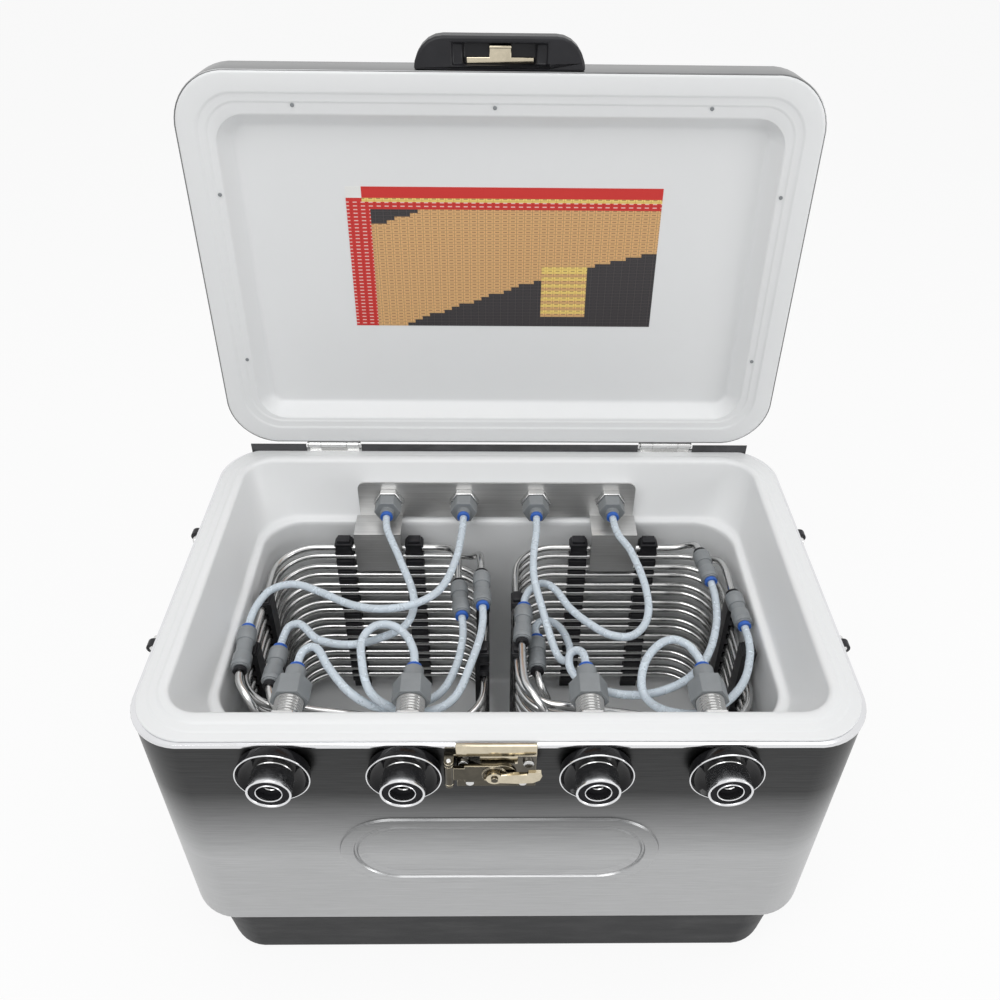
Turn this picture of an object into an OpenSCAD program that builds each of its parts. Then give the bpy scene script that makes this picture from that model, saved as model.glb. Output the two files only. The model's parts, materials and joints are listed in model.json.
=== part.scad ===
// Jockey box beer cooler: a steel-clad ice chest with four beer taps' shanks at the front,
// four inlets at the back and two packs of coiled cooling tube inside. Millimetres.
// Front is -Y, up is +Z, the base stands on Z = 0. The lid is drawn open, as it is used.

/* [Body] */
// Width of the steel body
body_w = 634; // [600:2:680]
// Depth of the steel body
body_d = 410; // [390:2:440]
// Height of the tub's rim
rim_z = 395; // [385:1:410]
// Height of the moulded base
base_h = 99; // [85:1:110]
// Outer corner radius
corner_r = 52; // [40:1:60]
// Thickness of the steel skin
skin = 1.2; // [0.8:0.1:2]
// Wall of the tub and of the base
wall = 3.5; // [2.5:0.5:5]
// How far the base is set in under the steel
base_inset = 11; // [6:1:14]

/* [Lid] */
// Thickness of the lid
lid_t = 45; // [38:1:55]
// How far the lid is open from closed
lid_open = 93; // [60:1:93]
// Depth of the recess in the lid
lid_recess = 20; // [8:0.5:26]
// Width of the lid's handle
handle_w = 157; // [120:1:180]
// Reach of the lid's handle
handle_reach = 29; // [20:1:32]

/* [Outlets and inlets] */
// Diameter of an outlet's black dish
dish_d = 61; // [54:1:68]
// Depth of an outlet's black dish
dish_t = 12; // [8:0.5:14]
// Diameter of an outlet's coupling nut
coupling_d = 36; // [34:0.5:40]
// Diameter of an outlet's shank
shank_d = 26; // [22:0.5:27]
// Bore of an outlet's shank
shank_bore = 12; // [9:0.5:14]
// Diameter of an inlet's stem
stem_d = 18; // [15:0.5:19]
// Bore of an inlet's stem
stem_bore = 9; // [8.5:0.25:11]

/* [Tubes] */
// Diameter of the steel cooling tube
coil_d = 8; // [6:0.25:8.5]
// Diameter of the clear hose
hose_d = 8; // [6:0.25:8]
// Diameter of a tube union
union_d = 19; // [16:0.5:19]

/* [Fits] */
// Gap between parts that are fixed together
seat = 0.1; // [0.05:0.05:0.2]
// Radial gap of a turning part
turn = 0.06; // [0.03:0.01:0.1]
// Gap between the clip combs and the cooling tube
grip = 0.3; // [0.1:0.1:0.5]

/* [Hidden] */
$fn = 48;

// the drawn layout was set out on a body of this size; all of it follows the body
sx = body_w / 634;
sy = body_d / 410;
dz = rim_z - 395;
function place(p) = [p[0] * sx, p[1] * sy, p[2] + dz];
function places(l) = [for (p = l) place(p)];

hw = body_w / 2;
hd = body_d / 2;
rim_hw = hw - 11;
rim_hd = hd - 10;
shell_top = rim_z - 10;
trim_top = rim_z - 5;
floor_z = 58;
ledge_z = rim_z - 62;
mouth_hw = rim_hw - 18;
mouth_hd = rim_hd - 20.6;
ledge_hw = rim_hw - 32;
ledge_hd = rim_hd - 47;
low_hw = ledge_hw - 8;
low_hd = ledge_hd - 8;
floor_hw = low_hw - 4;
floor_hd = low_hd - 4;
tub_r = 41.5;
mouth_r = 31;

// outlets
outlet_x = [-190 * sx, -80.7 * sx, 80.7 * sx, 190 * sx];
outlet_z = 360 + dz;
front_y = -hd;
boss_y = -(ledge_hd - 1);
collar_front = front_y - 27;
// bottom of the pocket that holds a shank's nut
pocket_y = -(ledge_hd + 18);
fit_front = -122 * sy;
fit_tip = fit_front + 25;

// inlets
inlet_x = [-127 * sx, -41 * sx, 41 * sx, 127 * sx];
inlet_z = 362 + dz;
pad_y = ledge_hd - 1;
plate_t = 2;
plate_front = pad_y - seat - plate_t;
inlet_nut_t = 8;
inlet_hex_t = 15;
inlet_tip = plate_front - 2 * seat - inlet_nut_t - inlet_hex_t - 9;

// hinge axis and lid, drawn closed and turned open about the axis
hinge_y = hd - 4.5;
hinge_z = rim_z + 4.8;
hinge_r = 4.3;
pin_r = 2;
lid_gap = 0.8;
lid_z = rim_z + lid_gap;
lid_back = hinge_y - 4.7;
lid_front = -hd - 4.2;
lid_len = lid_back - lid_front;
lid_mid = (lid_back + lid_front) / 2;
lid_hw = hw - 8;
lid_top = lid_z + lid_t;
lid_skin = 1;
lid_r = corner_r + 2;
hinge_x = [-194 * sx, 194 * sx];

// latch
latch_x = -43;
latch_y = front_y - 9;
latch_z = 363.5 + dz;
lever_x = -5;

// drain
drain_z = floor_z + 13.5;
drain_y = 0;
drain_r = 10;
drain_end = hw + 16;

// side bails
bail_z = 372 + dz;
bail_x = hw + 8;
bail_y0 = -83 * sy;
bail_y1 = 73 * sy;
bail_drop = 32;
wire_r = 3;

// cooling tube
coil_r = coil_d / 2;
hose_r = hose_d / 2;
union_r = union_d / 2;
bore_r = max(coil_r, hose_r) + 0.2;
loops = 8;
pitch = 30;
pair = 13;
coil_top = 312 + dz;
coil_bend = 45;
coil_x0 = -254 * sx;
coil_x1 = -16 * sx;
coil_y0 = -106 * sy;
coil_y1 = 118 * sy;
pack_step = 271.5 * sx;

// unions, hose end first, then steel end
ua = places([[-255, -26, 335], [-251, -84, 335]]);
ub = places([[-220, -46, 328], [-221, -96, 328]]);
uc = places([[-39.5, -6, 328], [-45, 46, 328]]);
ud = places([[-18, 1, 336], [-20, 53, 336]]);
ue = places([[25.5, 11, 328], [22.3, -42, 328]]);
uf = places([[39, -8, 300], [38, -56, 300]]);
ug = places([[230, 44, 329], [226, 94, 329]]);
uh = places([[253, -20, 328], [250, 30, 328]]);
left_unions = [ua, ub, uc, ud];
right_unions = [ue, uf, ug, uh];
all_unions = [ua, ub, uc, ud, ue, uf, ug, uh];

function unit(v) = v / norm(v);
function into(u, k, d) = u[k] + d * unit(u[1 - k] - u[k]);

// one turn of cooling tube: rounded corners joined by straight runs, the front run climbing
function corner(cx, cy, a, z) =
  [for (k = [0:3]) [cx + coil_bend * cos(a + 30 * k), cy + coil_bend * sin(a + 30 * k), z]];
function part_corner(cx, cy, a, n, z) =
  [for (k = [0:n]) [cx + coil_bend * cos(a + 30 * k), cy + coil_bend * sin(a + 30 * k), z]];
function turns(ox, top, last) = [
  for (i = [0:loops - 1])
    let (z = top - i * pitch)
    for (p = concat(
      corner(coil_x0 + coil_bend + ox, coil_y1 - coil_bend, 90, z),
      i < loops - 1
        ? concat(
            corner(coil_x0 + coil_bend + ox, coil_y0 + coil_bend, 180, z),
            corner(coil_x1 - coil_bend + ox, coil_y0 + coil_bend, 270, z - pitch),
            corner(coil_x1 - coil_bend + ox, coil_y1 - coil_bend, 0, z - pitch))
        : part_corner(coil_x0 + coil_bend + ox, coil_y0 + coil_bend, 180, last, z)))
      p];

// leads from the unions to the packs, and the risers that bring the low ends back up
path_left_outer = concat(
  [into(uc, 1, 12), uc[1]],
  places([[-46, 68, 328], [-48, 90, 325], [-58, 110, 318], [-78, 118, 312]]),
  turns(0, coil_top, 1),
  places([[-234, -108, 103], [-228, -118, 108], [-226, -121, 122], [-226, -121, 300],
    [-229, -119, 318], [-239, -110, 331], [-248, -97, 335]]),
  [ua[1], into(ua, 1, 12)]);
path_left_inner = concat(
  [into(ud, 1, 12), ud[1]],
  places([[-21, 72, 335], [-23, 90, 327], [-32, 104, 311], [-48, 114, 302], [-68, 118, 299]]),
  turns(0, coil_top - pair, 2),
  places([[-214, -110, 90], [-206, -118, 95], [-203, -121, 109], [-203, -121, 304],
    [-206, -120, 318], [-214, -114, 326]]),
  [ub[1], into(ub, 1, 12)]);
path_right_outer = concat(
  [into(ug, 1, 12), ug[1]],
  places([[224, 106, 327], [215, 115, 318], [198, 118, 312]]),
  turns(pack_step, coil_top, 1),
  places([[39, -108, 103], [45, -118, 108], [47, -121, 122], [47, -121, 302],
    [43, -118, 318], [33, -106, 326], [24, -88, 328]]),
  [ue[1], into(ue, 1, 12)]);
path_right_inner = concat(
  [into(uh, 1, 12), uh[1]],
  places([[250, 62, 328], [249, 84, 322], [240, 102, 310], [225, 113, 302], [206, 118, 299]]),
  turns(pack_step, coil_top - pair, 0),
  places([[21, -72, 89.5], [29, -84, 91], [41, -86, 97], [49, -82, 112], [51, -79, 132],
    [51, -79, 262], [48, -78, 284], [42, -72, 297]]),
  [uf[1], into(uf, 1, 12)]);

// hose routes, chosen by hand; each starts in a fitting and ends in a union
function inlet_start(i) = [[inlet_x[i], inlet_tip + 10, inlet_z], [inlet_x[i], inlet_tip - 2, inlet_z]];
function outlet_start(i) =
  [[outlet_x[i], fit_tip - 10, outlet_z], [outlet_x[i], fit_tip + 3, outlet_z]];
function finish(u) = [u[0], into(u, 0, 10)];
hose_i1 = concat(inlet_start(0), places([[-124, 92, 362], [-106, 46, 360], [-88, -6, 356],
  [-93, -36, 351], [-118, -52, 348], [-147, -58, 345], [-180, -49, 342], [-202, -26, 339],
  [-214, -24, 334], [-219, -34, 329]]), finish(ub));
hose_i2 = concat(inlet_start(1), places([[-42, 86, 363], [-47, 40, 366], [-61, -6, 369],
  [-85, -28, 371], [-118, -34, 370], [-150, -22, 364], [-185, 3, 356], [-214, 18, 352],
  [-239, 17, 345], [-251, 2, 339], [-255, -14, 335.5]]), finish(ua));
hose_i3 = concat(inlet_start(2), places([[40, 88, 360], [37, 66, 357], [36, 30, 351],
  [44, -5, 339], [53, -40, 328], [61, -55, 320], [70, -48, 313], [72, -25, 307],
  [64, 4, 302], [50, 16, 300], [39, 8, 300]]), finish(uf));
hose_i4 = concat(inlet_start(3), places([[130, 86, 362], [141, 62, 360], [151, 13, 356],
  [149, -27, 352], [132, -50, 350], [110, -49, 349], [90, -33, 348], [72, -10, 346],
  [59, 22, 340], [46, 39, 333], [33, 34, 329], [27, 22, 328]]), finish(ue));
hose_o1 = concat(outlet_start(0), places([[-188, -82, 361], [-181, -76, 362], [-173, -80, 363],
  [-160, -101, 362], [-138, -124, 355], [-115, -130, 342], [-84, -121, 331],
  [-57, -103, 328], [-43, -70, 328], [-38, -38, 328], [-38, -20, 328]]), finish(uc));
hose_o2 = concat(outlet_start(1), places([[-83, -78, 361], [-92, -60, 362], [-106, -50, 364],
  [-122, -53, 366], [-132, -70, 366], [-129, -98, 366], [-121, -123, 360], [-109, -131, 350],
  [-84, -132, 336], [-58, -127, 335], [-41, -112, 336], [-29, -76, 336], [-20, -40, 336],
  [-17.5, -16, 336]]),
  finish(ud));
hose_o3 = concat(outlet_start(2), places([[79, -80, 358], [73, -73, 354], [67, -76, 350],
  [68, -88, 343], [79, -99, 338], [98, -108, 337], [125, -113, 337], [153, -109, 338],
  [182, -93, 338], [206, -62, 335], [223, -19, 332], [230, 20, 329]]), finish(ug));
hose_o4 = concat(outlet_start(3), places([[187, -84, 361], [179, -73, 363], [165, -69, 365],
  [148, -80, 366], [134, -102, 365], [131, -124, 357], [142, -132, 346], [165, -133, 336],
  [190, -131, 334], [214, -118, 334], [236, -92, 332], [249, -60, 330], [253, -38, 328.5]]), finish(uh));

// a round tube swept along points: the ring frame is carried from point to point
function tangents(p) = [for (i = [0:len(p) - 1])
  unit(p[min(i + 1, len(p) - 1)] - p[max(i - 1, 0)])];
function carry(u, t) = unit(u - (u * t) * t);
function frames(t) = [for (i = 0, u = carry([0.1, 0.2, 1], t[0]); i < len(t);
  i = i + 1, u = carry(u, t[min(i, len(t) - 1)])) u];

module sweep(p, r, n) {
  t = tangents(p);
  f = frames(t);
  m = len(p);
  pts = [for (i = [0:m - 1]) for (k = [0:n - 1])
    p[i] + r * cos(360 * k / n) * f[i] + r * sin(360 * k / n) * cross(t[i], f[i])];
  walls = [for (i = [0:m - 2]) for (k = [0:n - 1])
    let (a = i * n + k, b = i * n + (k + 1) % n)
    each [[a, b + n, b], [a, a + n, b + n]]];
  start = [for (k = [1:n - 2]) [0, k, k + 1]];
  stop = [for (k = [1:n - 2]) [(m - 1) * n, (m - 1) * n + k + 1, (m - 1) * n + k]];
  polyhedron(points = pts, faces = concat(start, walls, stop), convexity = 10);
}

module rrect(w, d, r) {
  offset(r = r, $fn = 48) square([w - 2 * r, d - 2 * r], center = true);
}

module slab(w, d, r, z, h) {
  translate([0, 0, z]) linear_extrude(h) offset(r = r, $fn = 32)
    square([w - 2 * r, d - 2 * r], center = true);
}

// a cylinder along Y from y0 to y1
module rod_y(x, y0, y1, z, r) {
  translate([x, y0, z]) rotate([-90, 0, 0]) cylinder(h = y1 - y0, r = r);
}

module rod_x(x0, x1, y, z, r) {
  translate([x0, y, z]) rotate([0, 90, 0]) cylinder(h = x1 - x0, r = r);
}

module hex_y(x, y0, y1, z, flats) {
  translate([x, y0, z]) rotate([-90, 0, 0]) cylinder(h = y1 - y0, r = flats / sqrt(3), $fn = 6);
}

module along(p, q) {
  v = q - p;
  translate(p) rotate([0, acos(v[2] / norm(v)), atan2(v[1], v[0])]) children();
}

// ---- body ----
module base_block(inset, z0, z1) {
  hull() {
    slab(body_w - 38 - 2 * inset, body_d - 34 - 2 * inset, corner_r - 8 - inset, z0, 1);
    slab(body_w - 2 * base_inset - 2 * inset, body_d - 2 * base_inset - 2 * inset,
      corner_r - 4 - inset, z1 - 1, 1);
  }
}

module base_pan() {
  color("#2f3133") difference() {
    base_block(0, 0, base_h);
    base_block(wall, wall, base_h + 1);
    rod_x(hw - 60, hw, drain_y, drain_z, drain_r + seat);
  }
}

module shell_holes(extra) {
  for (x = outlet_x) rod_y(x, front_y - 5, boss_y + 10, outlet_z, shank_d / 2 + extra);
  for (x = inlet_x) rod_y(x, pad_y - 10, hd + 5, inlet_z, stem_d / 2 + extra);
}

module steel_shell() {
  color("#b9bcc0") difference() {
    translate([0, 0, base_h + seat]) linear_extrude(shell_top - base_h - seat)
      rrect(body_w, body_d, corner_r);
    translate([0, 0, base_h + seat + skin]) linear_extrude(shell_top)
      rrect(body_w - 2 * skin, body_d - 2 * skin, corner_r - skin);
    translate([0, 0, base_h - 1]) linear_extrude(5)
      rrect(body_w - 2 * base_inset - 6, body_d - 2 * base_inset - 6, corner_r - 7);
    shell_holes(seat);
  }
  // the embossed badge: a raised band and the raised panel inside it
  color("#b9bcc0") translate([0, front_y + 0.2, 226.5]) rotate([90, 0, 0]) {
    linear_extrude(1.4) difference() {
      rrect(297, 107, 53.4);
      rrect(270, 88, 43.9);
    }
    linear_extrude(0.9) difference() {
      rrect(264, 82, 40.9);
      rrect(259, 77, 38.4);
    }
  }
}

module rim_trim() {
  color("#d8dadb") difference() {
    translate([0, 0, shell_top + seat]) linear_extrude(trim_top - shell_top - seat)
      rrect(body_w + 2, body_d + 2, corner_r + 1);
    translate([0, 0, shell_top - 1]) linear_extrude(10)
      rrect(2 * rim_hw + 2 * seat, 2 * rim_hd + 2 * seat, corner_r + seat);
  }
}

module tub_hollow_top(grow, z1) {
  hull() {
    slab(2 * (ledge_hw + grow), 2 * (ledge_hd + grow), tub_r + grow, ledge_z, 0.1);
    slab(2 * (mouth_hw + grow), 2 * (mouth_hd + grow), mouth_r + grow, z1 - 0.1, 0.1);
  }
}

module tub_hollow_low(grow) {
  hull() {
    slab(2 * (floor_hw + grow), 2 * (floor_hd + grow), tub_r + grow, floor_z - grow, 0.1);
    slab(2 * (low_hw + grow), 2 * (low_hd + grow), tub_r + grow, ledge_z, 0.1);
  }
}

module tub_outside(grow) {
  tub_hollow_low(wall + grow);
  hull() {
    slab(2 * (ledge_hw + wall + grow), 2 * (ledge_hd + wall + grow), tub_r + wall + grow,
      ledge_z - wall - grow, 0.1);
    slab(2 * (mouth_hw + wall + grow), 2 * (mouth_hd + wall + grow), mouth_r + wall + grow,
      shell_top + 0.1, 0.1);
  }
  for (x = outlet_x) rod_y(x, -mouth_hd, boss_y, outlet_z, 23 + grow);
  translate([-170 - grow, pad_y, ledge_z - grow])
    cube([334 + 2 * grow, mouth_hd - pad_y, rim_z - 11 - ledge_z + grow]);
}

// hairline joins that part the walls and corners from each other and from the floor
module seams(z) {
  translate([-hw - 5, -hd - 5, z]) cube([body_w + 10, body_d + 10, seat]);
  for (s = [-1, 1]) {
    translate([s * (floor_hw - tub_r) - seat / 2, -hd - 5, z]) cube([seat, body_d + 10, rim_z]);
    translate([-hw - 5, s * (floor_hd - tub_r) - seat / 2, z]) cube([body_w + 10, seat, rim_z]);
  }
}

module inner_tub() {
  color("#eef0ef") difference() {
    union() {
      translate([0, 0, shell_top + 2 * seat]) linear_extrude(rim_z - shell_top - 2 * seat)
        rrect(2 * rim_hw, 2 * rim_hd, corner_r);
      tub_outside(0);
    }
    difference() {
      union() {
        tub_hollow_top(0, rim_z + 0.1);
        tub_hollow_low(0);
      }
      // the pad behind the bracket, sloped back to the wall
      hull() {
        translate([-170, pad_y, ledge_z - 1]) cube([334, 0.1, rim_z - 9.5 - ledge_z]);
        translate([-196, mouth_hd, ledge_z - 1]) cube([386, 5, rim_z - 6 - ledge_z]);
      }
    }
    // the step round the top of the rim
    translate([0, 0, rim_z - 1.6]) linear_extrude(3) difference() {
      rrect(2 * rim_hw + 10, 2 * rim_hd + 10, corner_r + 5);
      rrect(2 * rim_hw - 18, 2 * rim_hd - 18, corner_r - 9);
    }
    shell_holes(seat);
    for (x = outlet_x) rod_y(x, pocket_y, -ledge_hd + 30, outlet_z, 20);
    rod_x(floor_hw - 20, hw - 20, drain_y, drain_z, drain_r + seat);
    seams(floor_z);
  }
}

module body_foam() {
  color("#e6d9a8") difference() {
    union() {
      translate([0, 0, base_h + seat + skin + seat])
        linear_extrude(shell_top - base_h - skin - 3 * seat)
        rrect(body_w - 2 * skin - 2 * seat, body_d - 2 * skin - 2 * seat, corner_r - skin - seat);
      base_block(wall + seat, wall + seat, base_h + 1);
      translate([0, 0, base_h]) linear_extrude(2)
        rrect(body_w - 2 * base_inset - 2 * wall - 2, body_d - 2 * base_inset - 2 * wall - 2,
          corner_r - 10);
    }
    tub_outside(seat);
    tub_hollow_top(0, rim_z);
    tub_hollow_low(0);
    shell_holes(seat);
    rod_x(floor_hw - 20, hw, drain_y, drain_z, drain_r + seat);
    seams(floor_z - wall - seat);
  }
}

module drain_spout() {
  color("#303234") difference() {
    union() {
      rod_x(floor_hw - 2.2, drain_end, drain_y, drain_z, drain_r);
      rod_x(floor_hw - 2.2, floor_hw - seat, drain_y, drain_z, 12.5);
    }
    rod_x(floor_hw - 10, drain_end + 1, drain_y, drain_z, 7);
  }
}

module drain_nut() {
  color("#303234") difference() {
    translate([hw - base_inset + seat, drain_y, drain_z]) rotate([0, 90, 0])
      cylinder(h = 7, r = 17, $fn = 6);
    rod_x(hw - 30, hw + 10, drain_y, drain_z, drain_r + seat);
  }
}

module drain_cap() {
  color("#2a2c2e") difference() {
    union() {
      rod_x(hw - base_inset + 8, drain_end + 4, drain_y, drain_z, 14);
      translate([drain_end + 4, drain_y - 2.5, drain_z - 12]) cube([6, 5, 24]);
    }
    rod_x(hw - base_inset + 7, drain_end + 0.5, drain_y, drain_z, drain_r + turn);
  }
}

// ---- hinges ----
module hinge_rail() {
  color("#8d9095") difference() {
    union() {
      translate([-290 * sx, hinge_y - 3.7, trim_top + seat]) cube([580 * sx, 1, 12]);
      translate([-290 * sx, hinge_y - 3.7, trim_top + seat]) cube([580 * sx, 9, 1]);
    }
    for (x = hinge_x) translate([x - 32, hinge_y - 6, trim_top + 1.05]) cube([64, 20, 20]);
  }
}

module hinge_body_leaves() {
  color("#a9acb0") for (x = hinge_x) difference() {
    union() {
      translate([x - 29, hinge_y - 3.7, trim_top + 1.15]) cube([58, 12, 1.6]);
      for (s = [-29, 15]) translate([x + s, hinge_y - 1.6, trim_top + 2]) cube([14, 3.2, 4]);
      for (s = [-29, 15]) rod_x(x + s, x + s + 14, hinge_y, hinge_z, hinge_r);
    }
    rod_x(x - 30, x + 30, hinge_y, hinge_z, pin_r + turn);
  }
}

module hinge_pins() {
  color("#c8cacc") for (x = hinge_x) {
    rod_x(x - 29.5, x + 29.5, hinge_y, hinge_z, pin_r);
    rod_x(x - 31, x - 29.3, hinge_y, hinge_z, 3.4);
    rod_x(x + 29.3, x + 31, hinge_y, hinge_z, 3.4);
  }
}

// ---- latch on the front ----
module latch_base() {
  color("#a89b86") difference() {
    union() {
      translate([-37, front_y - 3, latch_z - 28]) cube([67, 3 - seat, 48 + seat]);
      translate([-37, front_y - 4.6, latch_z + 17]) cube([67, 3.2, 14]);
      for (z = [latch_z - 16.5, latch_z + 12.8]) {
        translate([latch_x, latch_y, z]) cylinder(h = 3.7, r = 4);
        translate([latch_x, front_y - 3, z]) cube([10, 3 - seat, 3.7]);
        translate([latch_x - 4, latch_y, z]) cube([8, 9 - seat, 3.7]);
      }
    }
    translate([latch_x, latch_y, latch_z - 20]) cylinder(h = 40, r = pin_r + turn);
  }
}

module latch_pin() {
  color("#c8cacc") translate([latch_x, latch_y, latch_z - 17.5]) cylinder(h = 35, r = pin_r);
}

module latch_hasp() {
  color("#b3a78f") difference() {
    union() {
      translate([latch_x, latch_y, latch_z - 12.5]) cylinder(h = 25, r = 4);
      translate([latch_x, latch_y - 1.5, latch_z - 8]) cube([42, 3, 16]);
      translate([-30, latch_y - 1.5, latch_z - 11]) cube([31.5, 3, 22]);
      rod_y(1.5, latch_y - 1.5, latch_y + 1.5, latch_z, 12);
      difference() {
        rod_y(lever_x, latch_y - 2.6, latch_y, latch_z, 10.5);
        rod_y(lever_x, latch_y - 4, latch_y - 1, latch_z, 8.2);
      }
      rod_y(lever_x, latch_y - 7.5, latch_y, latch_z, 3);
    }
    translate([latch_x, latch_y, latch_z - 20]) cylinder(h = 40, r = pin_r + turn);
  }
}

module latch_lever() {
  color("#d2c7ae") difference() {
    union() {
      rod_y(lever_x, latch_y - 6, latch_y - 1.7, latch_z, 7);
      translate([lever_x, latch_y - 3, latch_z]) rotate([90, 0, 0]) linear_extrude(3) polygon([
        [-9, -1], [3, 4.2], [16, 5.4], [27, 5.6], [28, 8.5], [38.5, 8.5], [39.5, 4],
        [37.5, -2], [32, -5.6], [20, -6.6], [4, -5.6]]);
    }
    rod_y(lever_x, latch_y - 10, latch_y + 2, latch_z, 3 + turn);
  }
}

// ---- side bails ----
module side(s) {
  if (s < 0) mirror([1, 0, 0]) children();
  else children();
}

module handle_brackets() {
  color("#3a3c3e") for (s = [-1, 1]) side(s) for (y = [bail_y0, bail_y1]) difference() {
    union() {
      translate([hw + seat, y - 14, bail_z - 20]) cube([2.4, 28, 32]);
      translate([hw + 2, y - 4, bail_z - 6]) cube([6, 8, 12]);
      rod_y(bail_x, y - 4, y + 4, bail_z, 6);
    }
    rod_y(bail_x, y - 10, y + 10, bail_z, wire_r + turn);
  }
}

module bail(s) {
  color("#b4b7ba") side(s) {
    rod_y(bail_x, bail_y0 - 4, bail_y0 + 9, bail_z, wire_r);
    rod_y(bail_x, bail_y1 - 9, bail_y1 + 4, bail_z, wire_r);
    translate([bail_x, bail_y0 + 9, bail_z]) sphere(r = wire_r, $fn = 24);
    translate([bail_x, bail_y1 - 9, bail_z]) sphere(r = wire_r, $fn = 24);
    translate([bail_x, bail_y0 + 9, bail_z - bail_drop]) cylinder(h = bail_drop, r = wire_r);
    translate([bail_x, bail_y1 - 9, bail_z - bail_drop]) cylinder(h = bail_drop, r = wire_r);
    translate([bail_x, bail_y0 + 9, bail_z - bail_drop]) sphere(r = wire_r, $fn = 24);
    translate([bail_x, bail_y1 - 9, bail_z - bail_drop]) sphere(r = wire_r, $fn = 24);
    rod_y(bail_x, bail_y0 + 9, bail_y1 - 9, bail_z - bail_drop, wire_r);
  }
}

module bail_grip(s) {
  color("#242628") side(s) difference() {
    rod_y(bail_x, bail_y0 + 16, bail_y1 - 16, bail_z - bail_drop, 7);
    rod_y(bail_x, bail_y0, bail_y1, bail_z - bail_drop, wire_r + seat);
  }
}

module left_bail() { bail(-1); }
module right_bail() { bail(1); }
module left_grip() { bail_grip(-1); }
module right_grip() { bail_grip(1); }

module body_screws() {
  color("#c8cacc") {
    for (x = [-26, 19]) rod_y(x, front_y - 4.6, front_y - 3 - seat, latch_z - 22, 3.5);
    for (x = hinge_x, s = [-22, 22])
      translate([x + s, hinge_y + 4.5, trim_top + 2.75 + seat]) cylinder(h = 1.4, r = 2.8);
    for (s = [-1, 1]) side(s) for (y = [bail_y0 - 9, bail_y0 + 9, bail_y1 - 9, bail_y1 + 9])
      rod_x(hw + 2.5 + seat, hw + 4, y, bail_z + 8.4, 2.4);
  }
}

// ---- outlets ----
module outlet_flanges() {
  color("#17181a") for (x = outlet_x) difference() {
    union() {
      rod_y(x, front_y - dish_t, front_y - 1.3, outlet_z, dish_d / 2);
      rod_y(x, front_y - 2, front_y - seat, outlet_z, 24);
    }
    rod_y(x, front_y - dish_t - 1, front_y - 3, outlet_z, dish_d / 2 - 3.5);
    rod_y(x, front_y - 20, front_y + 5, outlet_z, shank_d / 2 + seat);
  }
}

module outlet_shanks() {
  color("#c9ccd0") for (x = outlet_x) difference() {
    union() {
      rod_y(x, collar_front + 8, fit_front, outlet_z, shank_d / 2);
      rod_y(x, front_y - 8, front_y - 3 - seat, outlet_z, shank_d / 2 + 4);
    }
    rod_y(x, front_y - 30, fit_front + 5, outlet_z, shank_bore / 2);
  }
}

module coupling_nut(i) {
  color("#d4d7da") difference() {
    union() {
      rod_y(outlet_x[i], collar_front + 4, front_y - 8.3, outlet_z, coupling_d / 2 - 1.5);
      rod_y(outlet_x[i], collar_front, collar_front + 4, outlet_z, coupling_d / 2 + 1);
      rod_y(outlet_x[i], front_y - 14, front_y - 8.3, outlet_z, coupling_d / 2);
    }
    rod_y(outlet_x[i], collar_front - 1, collar_front + 8, outlet_z, 12.5);
    rod_y(outlet_x[i], collar_front + 7.7, front_y, outlet_z, shank_d / 2 + turn);
    translate([outlet_x[i], collar_front + 9, outlet_z + 10]) cylinder(h = 20, r = 2, $fn = 24);
  }
}

module coupling_nut_1() { coupling_nut(0); }
module coupling_nut_2() { coupling_nut(1); }
module coupling_nut_3() { coupling_nut(2); }
module coupling_nut_4() { coupling_nut(3); }

module shank_nuts() {
  color("#b8bbbf") for (x = outlet_x) difference() {
    hex_y(x, pocket_y + seat, pocket_y + 6.4, outlet_z, 32);
    rod_y(x, pocket_y - 5, pocket_y + 20, outlet_z, shank_d / 2 + seat);
  }
}

module shank_fittings() {
  color("#8c9094") for (x = outlet_x) difference() {
    union() {
      hex_y(x, fit_front - 17, fit_front + 4, outlet_z, 31);
      rod_y(x, fit_front + 4, fit_tip - 5, outlet_z, 9.5);
    }
    rod_y(x, fit_front - 18, fit_front + 1, outlet_z, shank_d / 2 + seat);
    rod_y(x, fit_front, fit_tip + 5, outlet_z, bore_r);
  }
}

// ---- inlets ----
module inlet_bulkheads() {
  color("#2c2e31") for (x = inlet_x) difference() {
    union() {
      rod_y(x, inlet_tip + 20, hd + 30, inlet_z, stem_d / 2);
      rod_y(x, hd + 3 + seat, hd + 26, inlet_z, 14.5);
    }
    rod_y(x, inlet_tip, hd + 40, inlet_z, stem_bore / 2);
  }
}

module inlet_seals() {
  color("#17181a") for (x = inlet_x) difference() {
    rod_y(x, hd + seat, hd + 3, inlet_z, 16);
    rod_y(x, hd - 5, hd + 5, inlet_z, stem_d / 2 + seat);
  }
}

module inlet_nuts() {
  color("#b8bbbf") for (x = inlet_x) difference() {
    hex_y(x, plate_front - seat - inlet_nut_t, plate_front - seat, inlet_z, 30);
    rod_y(x, plate_front - 20, plate_front + 5, inlet_z, stem_d / 2 + seat);
  }
}

module inlet_fittings() {
  y1 = plate_front - 2 * seat - inlet_nut_t;
  color("#8c9094") for (x = inlet_x) difference() {
    union() {
      hex_y(x, y1 - inlet_hex_t, y1, inlet_z, 26);
      rod_y(x, inlet_tip + 4, y1 - 10, inlet_z, 7.5);
    }
    rod_y(x, inlet_tip + 19.5, y1 + 5, inlet_z, stem_d / 2 + seat);
    rod_y(x, inlet_tip - 5, y1, inlet_z, bore_r);
  }
}

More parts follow.
